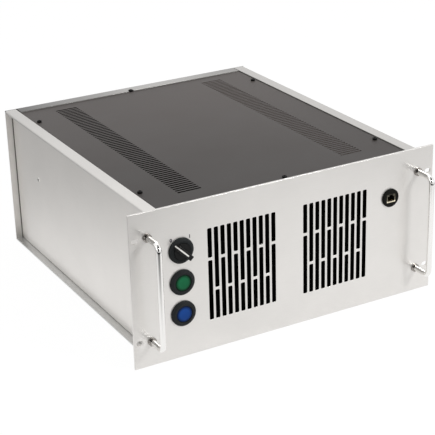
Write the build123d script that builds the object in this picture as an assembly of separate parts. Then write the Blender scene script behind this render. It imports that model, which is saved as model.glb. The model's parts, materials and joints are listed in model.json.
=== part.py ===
from build123d import *
from math import cos, radians, sin
import os

# Rack-mount fuel cell unit, nineteen inches wide and five units high.
# Millimetres. X runs to the right, Y from the front to the back and Z up.
# The origin is the middle of the four rack slots, on the back face of the
# front panel, which is the face that meets the rack's rails.

# Front panel
panel_width = 482.6
panel_height = 221.5
panel_thick = 3.0
panel_edge = 0.4
slot_spacing_x = 465.1
slot_spacing_z = 146.05
slot_length = 10.3
slot_width = 6.8

# Case
body_width = 430.0
panel_margin = 1.5
body_depth = 487.0
side_recess = 10.0
sheet = 2.0
thin_sheet = 1.5
bend_radius = 3.0
pan_flange = 12.0
pan_top_flange = 5.5
seat_gap = 0.3
rear_gap = 1.8
strip_width = 18.0
rear_strip = 19.0
lip_height = 3.5
lip_radius = 2.0
ledge_width = 19.0
tie_flange = 14.0

# Top cover
cover_gap = 1.4
band_x = 129.3
band_width = 35.0
band_start = 37.6
band_slot = 3.4
band_pitch = 6.87
band_count = 60
cover_screw_x = 189.0
cover_screw_y = (66.0, 410.0)
front_screw_y = 8.7
rear_screw_x = -4.5
rear_screw_inset = 16.0
notch_gap = 1.0

# Front vents
vent_x = 74.7
vent_columns = 11
vent_pitch = 9.84
vent_slot = 6.6
vent_height = 134.2
vent_bridge = 4.0
bridge_offset = 22.6
vent_corner = 1.8

# Controls
control_inset = 47.8
control_pitch = 45.8
bezel_radius = 18.0
bezel_rim = 2.4
bezel_height = 5.0
bezel_lip = 3.2
barrel_radius = 15.0
barrel_length = 12.0
cap_radius = 11.5
cap_gap = 0.3
cap_thick = 7.0
cap_sink = 0.5
button_travel = 2.5
stem_radius = 4.0
stem_length = 31.0
running_gap = 0.05
block_width = 34.0
block_depth = 28.0
block_height = 40.0
lock_nut_thick = 4.0
grip_length = 30.0
grip_top = 23.4
grip_width = 7.2
grip_height = 11.4
grip_edge = 0.8
mark_width = 1.3
mark_depth = 0.4
mark_length = 16.2

# Network socket
socket_radius = 13.4
socket_height = 4.0
socket_barrel = 11.2
socket_depth = 15.0
jack_width = 15.4
jack_height = 12.8
jack_length = 26.0
jack_sink = 0.8
plug_width = 11.8
plug_height = 7.6
plug_depth = 13.0
latch_width = 6.2
latch_height = 2.4

# Handles
handle_span = 150.0
handle_radius = 4.0
handle_reach = 33.0
handle_bend = 9.0
collar_radius = 6.0
collar_height = 3.5
handle_hole_depth = 12.0

# Screws, studs and nuts
stud_radius = 2.0
stud_out = 1.0
stud_inset = 20.0
hole_gap = 0.2
nut_flats = 7.0
nut_thick = 3.2
screw_radius = 2.0
screw_head_radius = 3.5
screw_head_height = 2.9
socket_key = 1.6

# Intake fans and filters
filter_thick = 6.0
fan_size = 119.0
fan_depth = 38.0
fan_bore = 57.5
fan_hole_pitch = 105.0
fan_corner = 5.0
fan_hub = 22.0
fan_hub_thick = 5.0
fan_strut = 5.0
fan_plate_edge = 8.0
bearing_radius = 5.0
shaft_radius = 1.5
rotor_hub = 21.0
rotor_wall = 2.0
blade_count = 7
blade_thick = 1.8
blade_root_chord = 24.0
blade_tip_chord = 32.0
blade_root_pitch = 48.0
blade_tip_pitch = 26.0
tip_gap = 2.0
duct_end_gap = 0.6

# Fuel cell stack
cell_count = 36
plate_thick = 6.4
membrane_thick = 0.8
cell_depth = 90.0
membrane_edge = 1.0
channel_count = 5
channel_width = 5.0
channel_depth = 1.6
collector_thick = 2.0
insulator_thick = 3.0
insulator_edge = 5.0
end_plate_thick = 14.0
end_plate_edge = 16.0
end_plate_corner = 8.0
pocket_depth = 5.0
rod_radius = 3.0
rod_edge = 8.0
spring_thick = 2.0
rod_nut_flats = 10.0
rod_nut_thick = 5.0
rod_out = 4.0
tab_width = 20.0
tab_bolt_reach = 2.0
stack_y = 130.0
foot_height = 52.0
foot_reach = 26.0
foot_stud_y = 30.0

# Gas train
gas_x = 22.0
gas_z = -60.0
gas_box = 30.0
valve_gap = 35.0
valve_length = 40.0
coil_size = 24.0
coil_height = 34.0
regulator_gap = 45.5
regulator_length = 45.0
regulator_cap = 13.0
regulator_cap_height = 28.0
tube_radius = 3.0
tube_bend = 15.0
tube_run_gap = 24.0
port_radius = 6.0
port_length = 9.0
bulkhead_radius = 9.0
bulkhead_out = 13.0
bulkhead_in = 16.0
bulkhead_bore_depth = 12.0
gas_bracket_width = 80.0
gas_bracket_margin = 5.0
gas_flange = 14.0

# Power and control
converter_x = 125.0
converter_width = 126.0
converter_front_gap = 49.0
converter_rear_gap = 40.5
converter_height = 126.0
converter_ear = 14.0
converter_ear_thick = 4.0
fin_count = 12
fin_height = 24.0
fin_thick = 2.5
bar_thick = 3.0
bar_height = 16.0
bar_rise = 18.0
bar_headroom = 7.25
bar_cross_gap = 26.0
post_size = 20.0
post_x = 90.0
terminal_pitch = 40.0
terminal_radius = 4.0
terminal_neck = 3.6
terminal_relief = 0.5
terminal_head = 6.0
terminal_out = 18.0
terminal_z = -60.0
bush_radius = 9.0
bush_height = 6.0
board_width = 120.0
board_length = 180.0
board_thick = 1.6
board_x = -125.0
board_rear_gap = 55.5
board_margin = 10.0
relay_size = 29.0
relay_height = 22.0
choke_size = 24.0
choke_height = 18.0
processor_size = 28.0
processor_height = 3.0
header_length = 80.0
header_depth = 10.0
header_height = 12.0
capacitor_radius = 9.0
capacitor_height = 30.0
standoff_height = 10.0
standoff_radius = 3.0
standoff_neck = 1.5
standoff_head = 2.4

# Levels and faces that the pieces share
front = -panel_thick
body_height = panel_height - 2 * panel_margin
half_body = body_width / 2
handle_x = half_body
control_x = half_body - control_inset
web_outer = half_body - side_recess
web_inner = web_outer - sheet
body_top = body_height / 2
body_bottom = -body_top
floor_top = body_bottom + sheet
strip_under = body_top - sheet
rear_inner = body_depth - thin_sheet
strip_inner = half_body - strip_width
cover_top = body_top - thin_sheet
cover_under = cover_top - thin_sheet
cover_half = strip_inner - cover_gap
strip_front = body_depth - rear_strip
ledge_inner = strip_inner - ledge_width
ledge_end = rear_inner - ledge_width
rear_screw_y = body_depth - rear_screw_inset
stud_hole = stud_radius + hole_gap
pan_stud_x = web_inner - (pan_flange - sheet) / 2
half_vent = vent_height / 2
flange_half = web_outer - pan_flange - 3 * seat_gap
bezel_front = front - bezel_height
cap_front = bezel_front + cap_sink
cap_back = cap_front + cap_thick
cap_seat = cap_back + button_travel + cap_gap
stem_end = cap_back + stem_length
fan_y = filter_thick + thin_sheet
fan_back = fan_y + fan_depth
bar_z = cover_under - bar_headroom - bar_height
cell_height = 2 * (bar_z - bar_rise)
stack_half = (cell_count * plate_thick + (cell_count - 1) * membrane_thick) / 2
collector_out = stack_half + collector_thick
insulator_out = collector_out + insulator_thick
stack_end = insulator_out + end_plate_thick
end_half_y = cell_depth / 2 + end_plate_edge
end_half_z = cell_height / 2 + end_plate_edge
rod_y = cell_depth / 2 + rod_edge
rod_z = cell_height / 2 + rod_edge
duct_end = stack_y - rod_y - rod_radius - duct_end_gap
gas_seat = gas_z - gas_box / 2
stack_back = stack_y + end_half_y
tube_run_y = stack_back + tube_run_gap
regulator_y = rear_inner - regulator_gap - regulator_length
valve_y = regulator_y - valve_gap - valve_length
converter_y = stack_back + converter_front_gap
converter_length = rear_inner - converter_rear_gap - converter_y
board_y = rear_inner - board_rear_gap - board_length


def block(x, y, z):
    """Return a box that fills the given ranges of X, Y and Z."""
    size = (x[1] - x[0], y[1] - y[0], z[1] - z[0])
    middle = Pos((x[0] + x[1]) / 2, (y[0] + y[1]) / 2, (z[0] + z[1]) / 2)
    return middle * Box(*size)


def turned(profile, x=0.0, z=0.0):
    """Turn (radius, y) points about a line along Y through (x, z)."""
    face = make_face(Polyline(*profile, close=True))
    return Pos(x, 0, z) * revolve(face, Axis.Y)


def along_y(radius, y, x=0.0, z=0.0):
    """Return a cylinder between two Y values."""
    return Pos(x, (y[0] + y[1]) / 2, z) * Rot(90, 0, 0) * Cylinder(radius, y[1] - y[0])


def along_x(radius, x, y=0.0, z=0.0):
    """Return a cylinder between two X values."""
    return Pos((x[0] + x[1]) / 2, y, z) * Rot(0, 90, 0) * Cylinder(radius, x[1] - x[0])


def along_z(radius, z, x=0.0, y=0.0):
    """Return a cylinder between two Z values."""
    return Pos(x, y, (z[0] + z[1]) / 2) * Cylinder(radius, z[1] - z[0])


def hex_nut(flats, bore, thick):
    """Return a nut that stands on the XY plane."""
    shape = RegularPolygon(flats / 2, 6, major_radius=False, rotation=30) - Circle(bore)
    return extrude(shape, thick)


def hex_nut_y(flats, bore, y, x, z):
    """Return a nut between two Y values."""
    return Pos(x, y[0], z) * Rot(-90, 0, 0) * hex_nut(flats, bore, y[1] - y[0])


def mirrored(shape):
    """Return the shape's mirror image in the YZ plane."""
    return mirror(shape, Plane.YZ)


def save(name, *solids):
    """Write the solids of one node to its STEP file."""
    shape = solids[0] if len(solids) == 1 else Compound(list(solids))
    export_step(shape, f"parts/{name}.step")


def stud_places():
    """Return (x, z, clamped thickness) of each stud behind the front panel."""
    side_z = slot_spacing_z / 2 - stud_inset
    places = [(x, z, sheet) for x in (-pan_stud_x, pan_stud_x) for z in (-side_z, side_z)]
    plate_x, plate_z = fan_plate_stud()
    for x in (-plate_x, plate_x):
        places += [(x, z, fan_y) for z in (-plate_z, plate_z)]
    bar_half = ledge_inner / 2
    for x in (-bar_half, bar_half):
        places.append((x, cover_under - tie_flange + nut_flats / 2, thin_sheet))
        places.append((x, floor_top + tie_flange / 2, sheet + seat_gap))
    return places


def fan_plate_half():
    """Return the fan plate's half width and half height."""
    half_x = vent_x + fan_size / 2 + fan_plate_edge
    half_z = fan_size / 2 + fan_plate_edge + nut_flats
    return half_x, half_z


def fan_plate_stud():
    """Return the place of the stud at the fan plate's corner."""
    half_x, half_z = fan_plate_half()
    return half_x - fan_plate_edge + stud_radius, half_z - fan_plate_edge


def front_vent(centre_x):
    """Return the cutters of one vent: columns of slots with staggered bridges."""
    cutters = []
    for column in range(vent_columns):
        x = centre_x + (column - (vent_columns - 1) / 2) * vent_pitch
        bridge = bridge_offset if column % 2 == 0 else -bridge_offset
        for low, high in (
            (-half_vent, bridge - vent_bridge / 2),
            (bridge + vent_bridge / 2, half_vent),
        ):
            slot = RectangleRounded(vent_slot, high - low, vent_corner)
            place = Plane.XZ.offset(panel_thick + 1)
            cutter = extrude(place * Pos(x, (low + high) / 2) * slot, -panel_thick - 2)
            cutters.append(cutter)
    return cutters


def front_panel():
    """Make the panel with its slots, vents, holes and rear studs."""
    plate = block(
        (-panel_width / 2, panel_width / 2),
        (front, 0),
        (-panel_height / 2, panel_height / 2),
    )
    plate = chamfer(plate.faces().sort_by(Axis.Y)[0].edges(), panel_edge)
    cutters = front_vent(-vent_x) + front_vent(vent_x)
    for x in (-slot_spacing_x / 2, slot_spacing_x / 2):
        for z in (-slot_spacing_z / 2, slot_spacing_z / 2):
            slot = SlotOverall(slot_length, slot_width)
            place = Plane.XZ.offset(panel_thick + 1)
            cutters.append(extrude(place * Pos(x, z) * slot, -panel_thick - 2))
    through = (front - 1, 1)
    for row in (-1, 0, 1):
        place = (-control_x, row * control_pitch)
        cutters.append(along_y(barrel_radius + cap_gap, through, *place))
    cutters.append(along_y(socket_barrel + cap_gap, through, control_x, control_pitch))
    for x in (-handle_x, handle_x):
        for z in (-handle_span / 2, handle_span / 2):
            cutters.append(along_y(screw_radius + hole_gap, through, x, z))
    plate -= cutters
    studs = []
    for x, z, clamped in stud_places():
        length = clamped + nut_thick + stud_out
        studs.append(along_y(stud_radius, (0, length), x, z))
    return plate + studs


def panel_nuts():
    """Make the nuts on the panel's studs."""
    nuts = []
    for x, z, clamped in stud_places():
        y = (clamped, clamped + nut_thick)
        nuts.append(hex_nut_y(nut_flats, stud_radius + running_gap, y, x, z))
    return nuts


def side_plate():
    """Make the right side: a shallow pan with all edges bent inwards."""
    length = rear_inner - rear_gap
    outside = block((web_outer - pan_flange, web_outer), (0, length), (floor_top, strip_under))
    outer_edges = outside.faces().sort_by(Axis.X)[-1].edges()
    outside = fillet(outer_edges, bend_radius)
    inside = block(
        (web_outer - pan_flange - 1, web_inner),
        (sheet, length - sheet),
        (floor_top + sheet, strip_under - sheet),
    )
    inner_edges = inside.faces().sort_by(Axis.X)[-1].edges()
    inside = fillet(inner_edges, bend_radius - sheet)
    pan = outside - inside
    pan -= block(
        (0, web_outer - pan_top_flange),
        (-1, length + 1),
        (strip_under - sheet - 1, strip_under + 1),
    )
    for x, z, clamped in stud_places():
        if x == pan_stud_x:
            pan -= along_y(stud_hole, (-1, sheet + 1), x, z)
    rivet_x = (web_inner - 1, web_outer + 1)
    return pan - along_x(screw_radius + hole_gap, rivet_x, *rivet_place())


def rivet_place():
    """Return the (y, z) place of the rivet that ties the side to its brace."""
    return body_depth * 0.8, body_height * 0.11


def side_brace():
    """Make the right-hand upright that stiffens the side plate."""
    y, _ = rivet_place()
    half = tie_flange / 2
    z = (floor_top + bend_radius + seat_gap, strip_under - bend_radius - seat_gap)
    web = block(
        (web_inner - thin_sheet, web_inner),
        (y - half, y + half),
        z,
    )
    leg = block(
        (web_inner - tie_flange, web_inner),
        (y + half - thin_sheet, y + half),
        z,
    )
    hole = along_x(screw_radius + hole_gap, (web_inner - tie_flange, web_inner + 1), *rivet_place())
    return web + leg - hole


def side_rivet():
    """Make the rivet through the right side plate and its brace."""
    y, z = rivet_place()
    head = along_x(screw_head_radius, (web_outer, web_outer + 1.2), y, z)
    outer_edge = head.edges().filter_by(GeomType.CIRCLE).sort_by(Axis.X)[-1]
    head = fillet(outer_edge, 1.0)
    shank = along_x(screw_radius, (web_inner - thin_sheet, web_outer), y, z)
    tail_x = (web_inner - 2 * thin_sheet, web_inner - thin_sheet)
    return head + shank + along_x(screw_head_radius - 0.5, tail_x, y, z)


def top_rail():
    """Make the right-hand rail: lip, top strip, step and ledge in one sheet."""
    ledge_top = cover_under
    outline = (
        (half_body, body_top - lip_height),
        (half_body, body_top),
        (strip_inner, body_top),
        (strip_inner, ledge_top),
        (ledge_inner, ledge_top),
        (ledge_inner, ledge_top - sheet),
        (strip_inner + sheet, ledge_top - sheet),
        (strip_inner + sheet, strip_under),
        (half_body - sheet, strip_under),
        (half_body - sheet, body_top - lip_height),
    )
    face = make_face(Polyline(*outline, close=True))
    corners = face.vertices().group_by(Axis.Y)[-1].sort_by(Axis.X)
    face = fillet(corners[-1], lip_radius)
    inner_corner = face.vertices().group_by(Axis.Y)[-1].sort_by(Axis.X)[0]
    face = fillet(inner_corner, lip_radius / 2)
    rail = extrude(Plane.XZ * face, -rear_inner)
    rail -= block(
        (0, strip_inner),
        (ledge_end - seat_gap, rear_inner + 1),
        (ledge_top - sheet - 1, ledge_top),
    )
    for y in cover_screw_y:
        rail -= along_z(screw_radius + running_gap, (ledge_top - sheet - 1, ledge_top + 1), cover_screw_x, y)
    return rail


def front_crossbar():
    """Make the angle that carries the cover's front edge."""
    half = ledge_inner - seat_gap
    leg = block((-half, half), (0, thin_sheet), (cover_under - tie_flange, cover_under))
    shelf = block((-half, half), (0, tie_flange), (cover_under - thin_sheet, cover_under))
    bar = leg + shelf
    for x, z, clamped in stud_places():
        if z > half_vent and abs(x) < half:
            bar -= along_y(stud_hole, (-1, thin_sheet + 1), x, z)
    hole_z = (cover_under - thin_sheet - 1, cover_under + 1)
    return bar - along_z(screw_radius + running_gap, hole_z, 0, front_screw_y)


def top_cover():
    """Make the flat cover with its two bands of cross slots."""
    cover = block(
        (-cover_half, cover_half),
        (seat_gap, rear_inner - seat_gap),
        (cover_under, cover_top),
    )
    cutters = []
    z = (cover_under - 1, cover_top + 1)
    for centre in (-band_x, band_x):
        x = (centre - band_width / 2, centre + band_width / 2)
        for row in range(band_count):
            y = band_start + row * band_pitch
            cutters.append(block(x, (y, y + band_slot), z))
    for x, y in cover_screw_places():
        cutters.append(along_z(screw_radius + hole_gap, z, x, y))
    return cover - cutters


def cover_screw_places():
    """Return the (x, y) places of the cover's screws."""
    places = [(x, y) for x in (-cover_screw_x, cover_screw_x) for y in cover_screw_y]
    return places + [(0, front_screw_y), (rear_screw_x, rear_screw_y)]


def cover_screws():
    """Make the black pan-head screws with hexagon sockets."""
    screws = []
    for x, y in cover_screw_places():
        head = along_z(screw_head_radius, (cover_top, cover_top + screw_head_height), x, y)
        head = fillet(head.edges().sort_by(Axis.Z)[-1], screw_head_height / 3)
        socket = extrude(RegularPolygon(socket_key, 6, major_radius=False), screw_head_height)
        head -= Pos(x, y, cover_top + screw_head_height / 2) * socket
        shank_end = cover_under - 2 * sheet
        screws.append(head + along_z(screw_radius, (shank_end, cover_top), x, y))
    return screws


def bottom_plate():
    """Make the floor, whose wings carry the sides, with its end flanges."""
    floor = block((-half_body, half_body), (seat_gap, rear_inner - rear_gap), (body_bottom, floor_top))
    tail = block((-flange_half, flange_half), (0, rear_inner), (body_bottom, floor_top))
    top = floor_top + tie_flange
    front_leg = block((-flange_half, flange_half), (seat_gap, seat_gap + sheet), (floor_top, top))
    rear_leg = block((-flange_half, flange_half), (rear_inner - sheet, rear_inner), (floor_top, top))
    tail -= block((-half_body, half_body), (-1, seat_gap), (body_bottom - 1, top + 1))
    plate = floor + tail + front_leg + rear_leg
    for x, z, clamped in stud_places():
        if z < -half_vent and abs(x) < flange_half:
            plate -= along_y(stud_hole, (-1, 2 * sheet), x, z)
    for x, z in rear_screw_places():
        plate -= along_y(screw_radius + running_gap, (rear_inner - 2 * sheet, rear_inner + 1), x, z)
    for x, y, clamped in floor_stud_places():
        plate += along_z(stud_radius, (floor_top, floor_top + clamped + nut_thick + stud_out), x, y)
    return plate


def rear_screw_places():
    """Return the (x, z) places of the screws along the rear panel's foot."""
    z = floor_top + tie_flange / 2
    return [(x * flange_half * 0.85, z) for x in (-1, 0, 1)]


def rear_panel():
    """Make the rear panel with its top strip and the ledge under the cover."""
    plate = block((-half_body, half_body), (rear_inner, body_depth), (body_bottom, body_top))
    half = cover_half
    strip = block((-half, half), (strip_front, rear_inner), (cover_top, body_top))
    notch_radius = screw_head_radius + notch_gap
    notch_z = (cover_top - 1, body_top + 1)
    strip -= along_z(notch_radius, notch_z, rear_screw_x, rear_screw_y)
    strip -= block(
        (rear_screw_x - notch_radius, rear_screw_x + notch_radius),
        (strip_front - 1, rear_screw_y),
        notch_z,
    )
    ledge = block((-half, half), (ledge_end, rear_inner), (cover_under - thin_sheet, cover_under))
    panel = plate + strip + ledge
    hole_z = (cover_under - thin_sheet - 1, cover_under + 1)
    cutters = [along_z(screw_radius + running_gap, hole_z, rear_screw_x, rear_screw_y)]
    through = (rear_inner - 1, body_depth + 1)
    for x, z in rear_screw_places():
        cutters.append(along_y(screw_radius + hole_gap, through, x, z))
    for x in (-gas_x, gas_x):
        cutters.append(along_y(port_radius + hole_gap, through, x, gas_z))
    for x in terminal_places():
        cutters.append(along_y(port_radius + hole_gap, through, x, terminal_z))
    for centre in (-vent_x * 1.4, vent_x * 1.4):
        for column in range(-4, 5):
            x = centre + column * vent_pitch
            cutters.append(block((x - vent_slot / 2, x + vent_slot / 2), through, (0, half_vent)))
    return panel - cutters


def rear_screws():
    """Make the screws that hold the rear panel to the floor."""
    screws = []
    for x, z in rear_screw_places():
        head = along_y(screw_head_radius, (body_depth, body_depth + screw_head_height), x, z)
        shank = along_y(screw_radius, (rear_inner - 2 * sheet, body_depth), x, z)
        screws.append(head + shank)
    return screws


def handle():
    """Make the right-hand handle: one bent rod with tapped ends."""
    z = handle_span / 2
    path = FilletPolyline(
        (handle_x, front, -z),
        (handle_x, front - handle_reach, -z),
        (handle_x, front - handle_reach, z),
        (handle_x, front, z),
        radius=handle_bend,
    )
    start = Plane((handle_x, front, -z), x_dir=(1, 0, 0), z_dir=(0, -1, 0))
    rod = sweep(start * Circle(handle_radius), path=path)
    for height in (-z, z):
        rod -= along_y(screw_radius, (front - handle_hole_depth, front + 1), handle_x, height)
    return rod


def handle_collars():
    """Make the four turned rings round the handles' feet."""
    bore = handle_radius + running_gap
    profile = (
        (bore, front),
        (bore, front - collar_height),
        (collar_radius - 1, front - collar_height),
        (collar_radius, front - collar_height + 1),
        (collar_radius, front),
    )
    return [
        turned(profile, x, z)
        for x in (-handle_x, handle_x)
        for z in (-handle_span / 2, handle_span / 2)
    ]


def handle_screws():
    """Make the four screws that hold the handles from behind."""
    screws = []
    for x in (-handle_x, handle_x):
        for z in (-handle_span / 2, handle_span / 2):
            head = along_y(screw_head_radius, (0, screw_head_height), x, z)
            shank_start = front - handle_hole_depth + 1
            shank = along_y(screw_radius - running_gap, (shank_start, 0), x, z)
            screws.append(head + shank)
    return screws


def bezel(z):
    """Make a control's black bezel with its barrel through the panel."""
    bore = cap_radius + cap_gap
    stem_bore = stem_radius + running_gap
    profile = (
        (bore, cap_seat),
        (bore, bezel_front + cap_sink),
        (bore + cap_sink, bezel_front),
        (bezel_radius - bezel_lip, bezel_front),
        (bezel_radius, front - bezel_rim),
        (bezel_radius, front),
        (barrel_radius, front),
        (barrel_radius, barrel_length),
        (stem_bore, barrel_length),
        (stem_bore, cap_seat),
    )
    return turned(profile, -control_x, z)


def push_cap(z):
    """Make a push button's lens with its stem."""
    profile = (
        (0, cap_front - 0.5),
        (cap_radius * 0.6, cap_front - 0.3),
        (cap_radius - 0.8, cap_front),
        (cap_radius, cap_front + 0.8),
        (cap_radius, cap_back),
        (stem_radius, cap_back),
        (stem_radius, stem_end),
        (0, stem_end),
    )
    return turned(profile, -control_x, z)


def selector_knob():
    """Make the selector's disc, stem and wedge-ended bar grip, set to 0."""
    disc_front = bezel_front - cap_gap
    profile = (
        (0, disc_front),
        (cap_radius, disc_front),
        (cap_radius, cap_back),
        (stem_radius, cap_back),
        (stem_radius, stem_end),
        (0, stem_end),
    )
    body = turned(profile)
    top = disc_front - grip_height
    side = Polygon(
        (-grip_length / 2, disc_front),
        (-grip_top / 2, top),
        (grip_top / 2, top),
        (grip_length / 2, disc_front),
        align=None,
    )
    grip = extrude(side, grip_width / 2, both=True)
    rims = grip.edges().filter_by(lambda edge: edge.center().Y < disc_front - 1)
    grip = fillet(rims, grip_edge)
    band = block(
        (-grip_length, mark_length - grip_top / 2),
        (top - 1, disc_front),
        (-mark_width / 2, mark_width / 2),
    )
    grip -= band - Pos(mark_depth, mark_depth, 0) * grip
    return Pos(-control_x, 0, control_pitch) * Rot(0, 45, 0) * (body + grip)


def contact_block(z):
    """Make the contact block behind a control, bored for its stem."""
    y = (barrel_length, barrel_length + block_depth)
    body = block(
        (-control_x - block_width / 2, -control_x + block_width / 2),
        y,
        (z - block_height / 2, z + block_height / 2),
    )
    body = chamfer(body.edges().filter_by(Axis.Y), 2)
    bore_end = stem_end + button_travel + 1
    return body - along_y(stem_radius + running_gap, (y[0] - 1, bore_end), -control_x, z)


def lock_nuts():
    """Make the ring nuts behind the panel."""
    nuts = []
    for row in (-1, 0, 1):
        place = (-control_x, row * control_pitch)
        bore = barrel_radius + running_gap
        nuts.append(hex_nut_y(2 * bezel_radius, bore, (0, lock_nut_thick), *place))
    bore = socket_barrel + running_gap
    place = (control_x, control_pitch)
    nuts.append(hex_nut_y(2 * socket_radius, bore, (0, lock_nut_thick), *place))
    return nuts


def network_flange():
    """Make the network socket's round black housing."""
    rim = front - socket_height
    profile = (
        (0, rim),
        (socket_radius - 1.5, rim),
        (socket_radius, rim + 1.5),
        (socket_radius, front),
        (socket_barrel, front),
        (socket_barrel, socket_depth),
        (0, socket_depth),
    )
    housing = turned(profile, control_x, control_pitch)
    half_x = jack_width / 2 + running_gap
    half_z = jack_height / 2 + running_gap
    return housing - block(
        (control_x - half_x, control_x + half_x),
        (rim - 1, socket_depth + 1),
        (control_pitch - half_z, control_pitch + half_z),
    )


def network_jack():
    """Make the metal jack with its stepped plug opening."""
    start = front - socket_height + jack_sink
    z0 = control_pitch - jack_height / 2
    shell = block(
        (control_x - jack_width / 2, control_x + jack_width / 2),
        (start, start + jack_length),
        (z0, z0 + jack_height),
    )
    wall = (jack_width - plug_width) / 2
    mouth_z = (z0 + wall, z0 + wall + plug_height)
    mouth = block(
        (control_x - plug_width / 2, control_x + plug_width / 2),
        (start - 1, start + plug_depth),
        mouth_z,
    )
    latch = block(
        (control_x - latch_width / 2, control_x + latch_width / 2),
        (start - 1, start + plug_depth),
        (mouth_z[1] - 1, mouth_z[1] + latch_height),
    )
    return shell - mouth - latch


def filter_mats():
    """Make the two foam mats between the vents and the fan plate."""
    half_x, half_z = fan_plate_half()
    inner = vent_x - (vent_columns * vent_pitch) / 2 - 4
    outer = half_x - fan_plate_edge - seat_gap
    top = half_z - thin_sheet - seat_gap
    mat = block((inner, outer), (seat_gap, filter_thick), (-top, top))
    return [mirrored(mat), mat]


def fan_plate():
    """Make the flanged plate that carries both fans."""
    half_x, half_z = fan_plate_half()
    plate = block((-half_x, half_x), (0, fan_y), (-half_z, half_z))
    wall_x, wall_z = half_x - thin_sheet, half_z - thin_sheet
    plate -= block((-wall_x, wall_x), (-1, filter_thick), (-wall_z, wall_z))
    through = (filter_thick - 1, fan_y + 1)
    cutters = [along_y(fan_bore, through, x, 0) for x in (-vent_x, vent_x)]
    cutters += [along_y(screw_radius + running_gap, through, x, z) for x, z in fan_screw_places()]
    stud_x, stud_z = fan_plate_stud()
    for x in (-stud_x, stud_x):
        cutters += [along_y(stud_hole, through, x, z) for z in (-stud_z, stud_z)]
    return plate - cutters


def fan_screw_places():
    """Return the (x, z) places of the fans' corner screws."""
    half = fan_hole_pitch / 2
    return [
        (centre + x, z)
        for centre in (-vent_x, vent_x)
        for x in (-half, half)
        for z in (-half, half)
    ]


def fan_screws():
    """Make the long screws through duct and fans into the fan plate."""
    screws = []
    for x, z in fan_screw_places():
        seat = fan_back + thin_sheet
        head = along_y(screw_head_radius, (seat, seat + screw_head_height), x, z)
        screws.append(head + along_y(screw_radius, (filter_thick + seat_gap, seat), x, z))
    return screws


def fan_frame(x):
    """Make a fan's square frame with its rear hub, struts and bearing tube."""
    outline = RectangleRounded(fan_size, fan_size, fan_corner) - Circle(fan_bore)
    place = Plane.XZ.offset(-fan_y)
    frame = extrude(place * outline, -fan_depth)
    half = fan_hole_pitch / 2
    for hole_x in (-half, half):
        for hole_z in (-half, half):
            hole_y = (fan_y - 1, fan_back + 1)
            frame -= along_y(screw_radius + hole_gap, hole_y, hole_x, hole_z)
    hub_y = (fan_back - fan_hub_thick, fan_back)
    frame += along_y(fan_hub, hub_y)
    for turn in range(4):
        strut = block((fan_hub - 2, fan_bore + 1), hub_y, (-fan_strut / 2, fan_strut / 2))
        frame += Rot(0, 45 + 90 * turn, 0) * strut
    tube_y = (fan_y + 4 * rotor_wall, fan_back - fan_hub_thick)
    frame += along_y(bearing_radius, tube_y)
    bore_y = (tube_y[0] - 1, fan_back - rotor_wall)
    frame -= along_y(shaft_radius + running_gap, bore_y)
    return Pos(x, 0, 0) * frame


def fan_blade():
    """Make one twisted blade, broad and flat at the tip, steep at the root."""
    middle = (fan_y + fan_back - fan_hub_thick) / 2
    tip = fan_bore - tip_gap
    sections = []
    for radius, chord, pitch in (
        (rotor_hub - 2 * rotor_wall, blade_root_chord, blade_root_pitch),
        (tip + 1, blade_tip_chord, blade_tip_pitch),
    ):
        place = Plane((radius, middle, 0), x_dir=(0, 1, 0), z_dir=(1, 0, 0))
        sections.append(place * Rot(0, 0, 90 - pitch) * Rectangle(chord, blade_thick))
    return loft(sections) & along_y(tip, (fan_y, fan_back))


def fan_rotor(x):
    """Make a fan's rotor: cup hub, shaft and blades."""
    y0 = fan_y + 2 * rotor_wall
    y1 = fan_back - fan_hub_thick - rotor_wall / 2
    blade = fan_blade()
    rotor = along_y(rotor_hub, (y0, y1))
    for turn in range(blade_count):
        rotor += Rot(0, 360 / blade_count * turn, 0) * blade
    rotor -= along_y(rotor_hub - rotor_wall, (y0 + rotor_wall, y1 + 1))
    rotor += along_y(shaft_radius, (y0 + rotor_wall / 2, fan_back - 2 * rotor_wall))
    return Pos(x, 0, 0) * rotor


def air_duct():
    """Make the duct from the fans to the cells, with the plate it hangs on."""
    half_x = insulator_out - seat_gap
    half_z = rod_z - rod_radius - duct_end_gap
    duct = block((-half_x, half_x), (fan_back, duct_end), (-half_z, half_z))
    inner_x, inner_z = half_x - thin_sheet, half_z - thin_sheet
    plate_back = fan_back + thin_sheet
    duct -= block((-inner_x, inner_x), (plate_back, duct_end + 1), (-inner_z, inner_z))
    through = (fan_back - 1, plate_back + 1)
    cutters = [along_y(fan_bore, through, x, 0) for x in (-vent_x, vent_x)]
    cutters += [along_y(screw_radius + hole_gap, through, x, z) for x, z in fan_screw_places()]
    return duct - cutters


def bipolar_plates():
    """Make the graphite plates, each grooved for air on one face."""
    pitch = plate_thick + membrane_thick
    y = (stack_y - cell_depth / 2, stack_y + cell_depth / 2)
    plate = block((0, plate_thick), y, (-cell_height / 2, cell_height / 2))
    for channel in range(channel_count):
        z = (channel - (channel_count - 1) / 2) * cell_height / channel_count
        plate -= block(
            (plate_thick - channel_depth, plate_thick + 1),
            (y[0] - 1, y[1] + 1),
            (z - channel_width / 2, z + channel_width / 2),
        )
    return [Pos(index * pitch - stack_half, 0, 0) * plate for index in range(cell_count)]


def membranes():
    """Make the gasketed membranes between the plates."""
    pitch = plate_thick + membrane_thick
    half_y = cell_depth / 2 + membrane_edge
    half_z = cell_height / 2 + membrane_edge
    start = plate_thick - stack_half
    return [
        block(
            (start + index * pitch, start + index * pitch + membrane_thick),
            (stack_y - half_y, stack_y + half_y),
            (-half_z, half_z),
        )
        for index in range(cell_count - 1)
    ]


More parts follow.
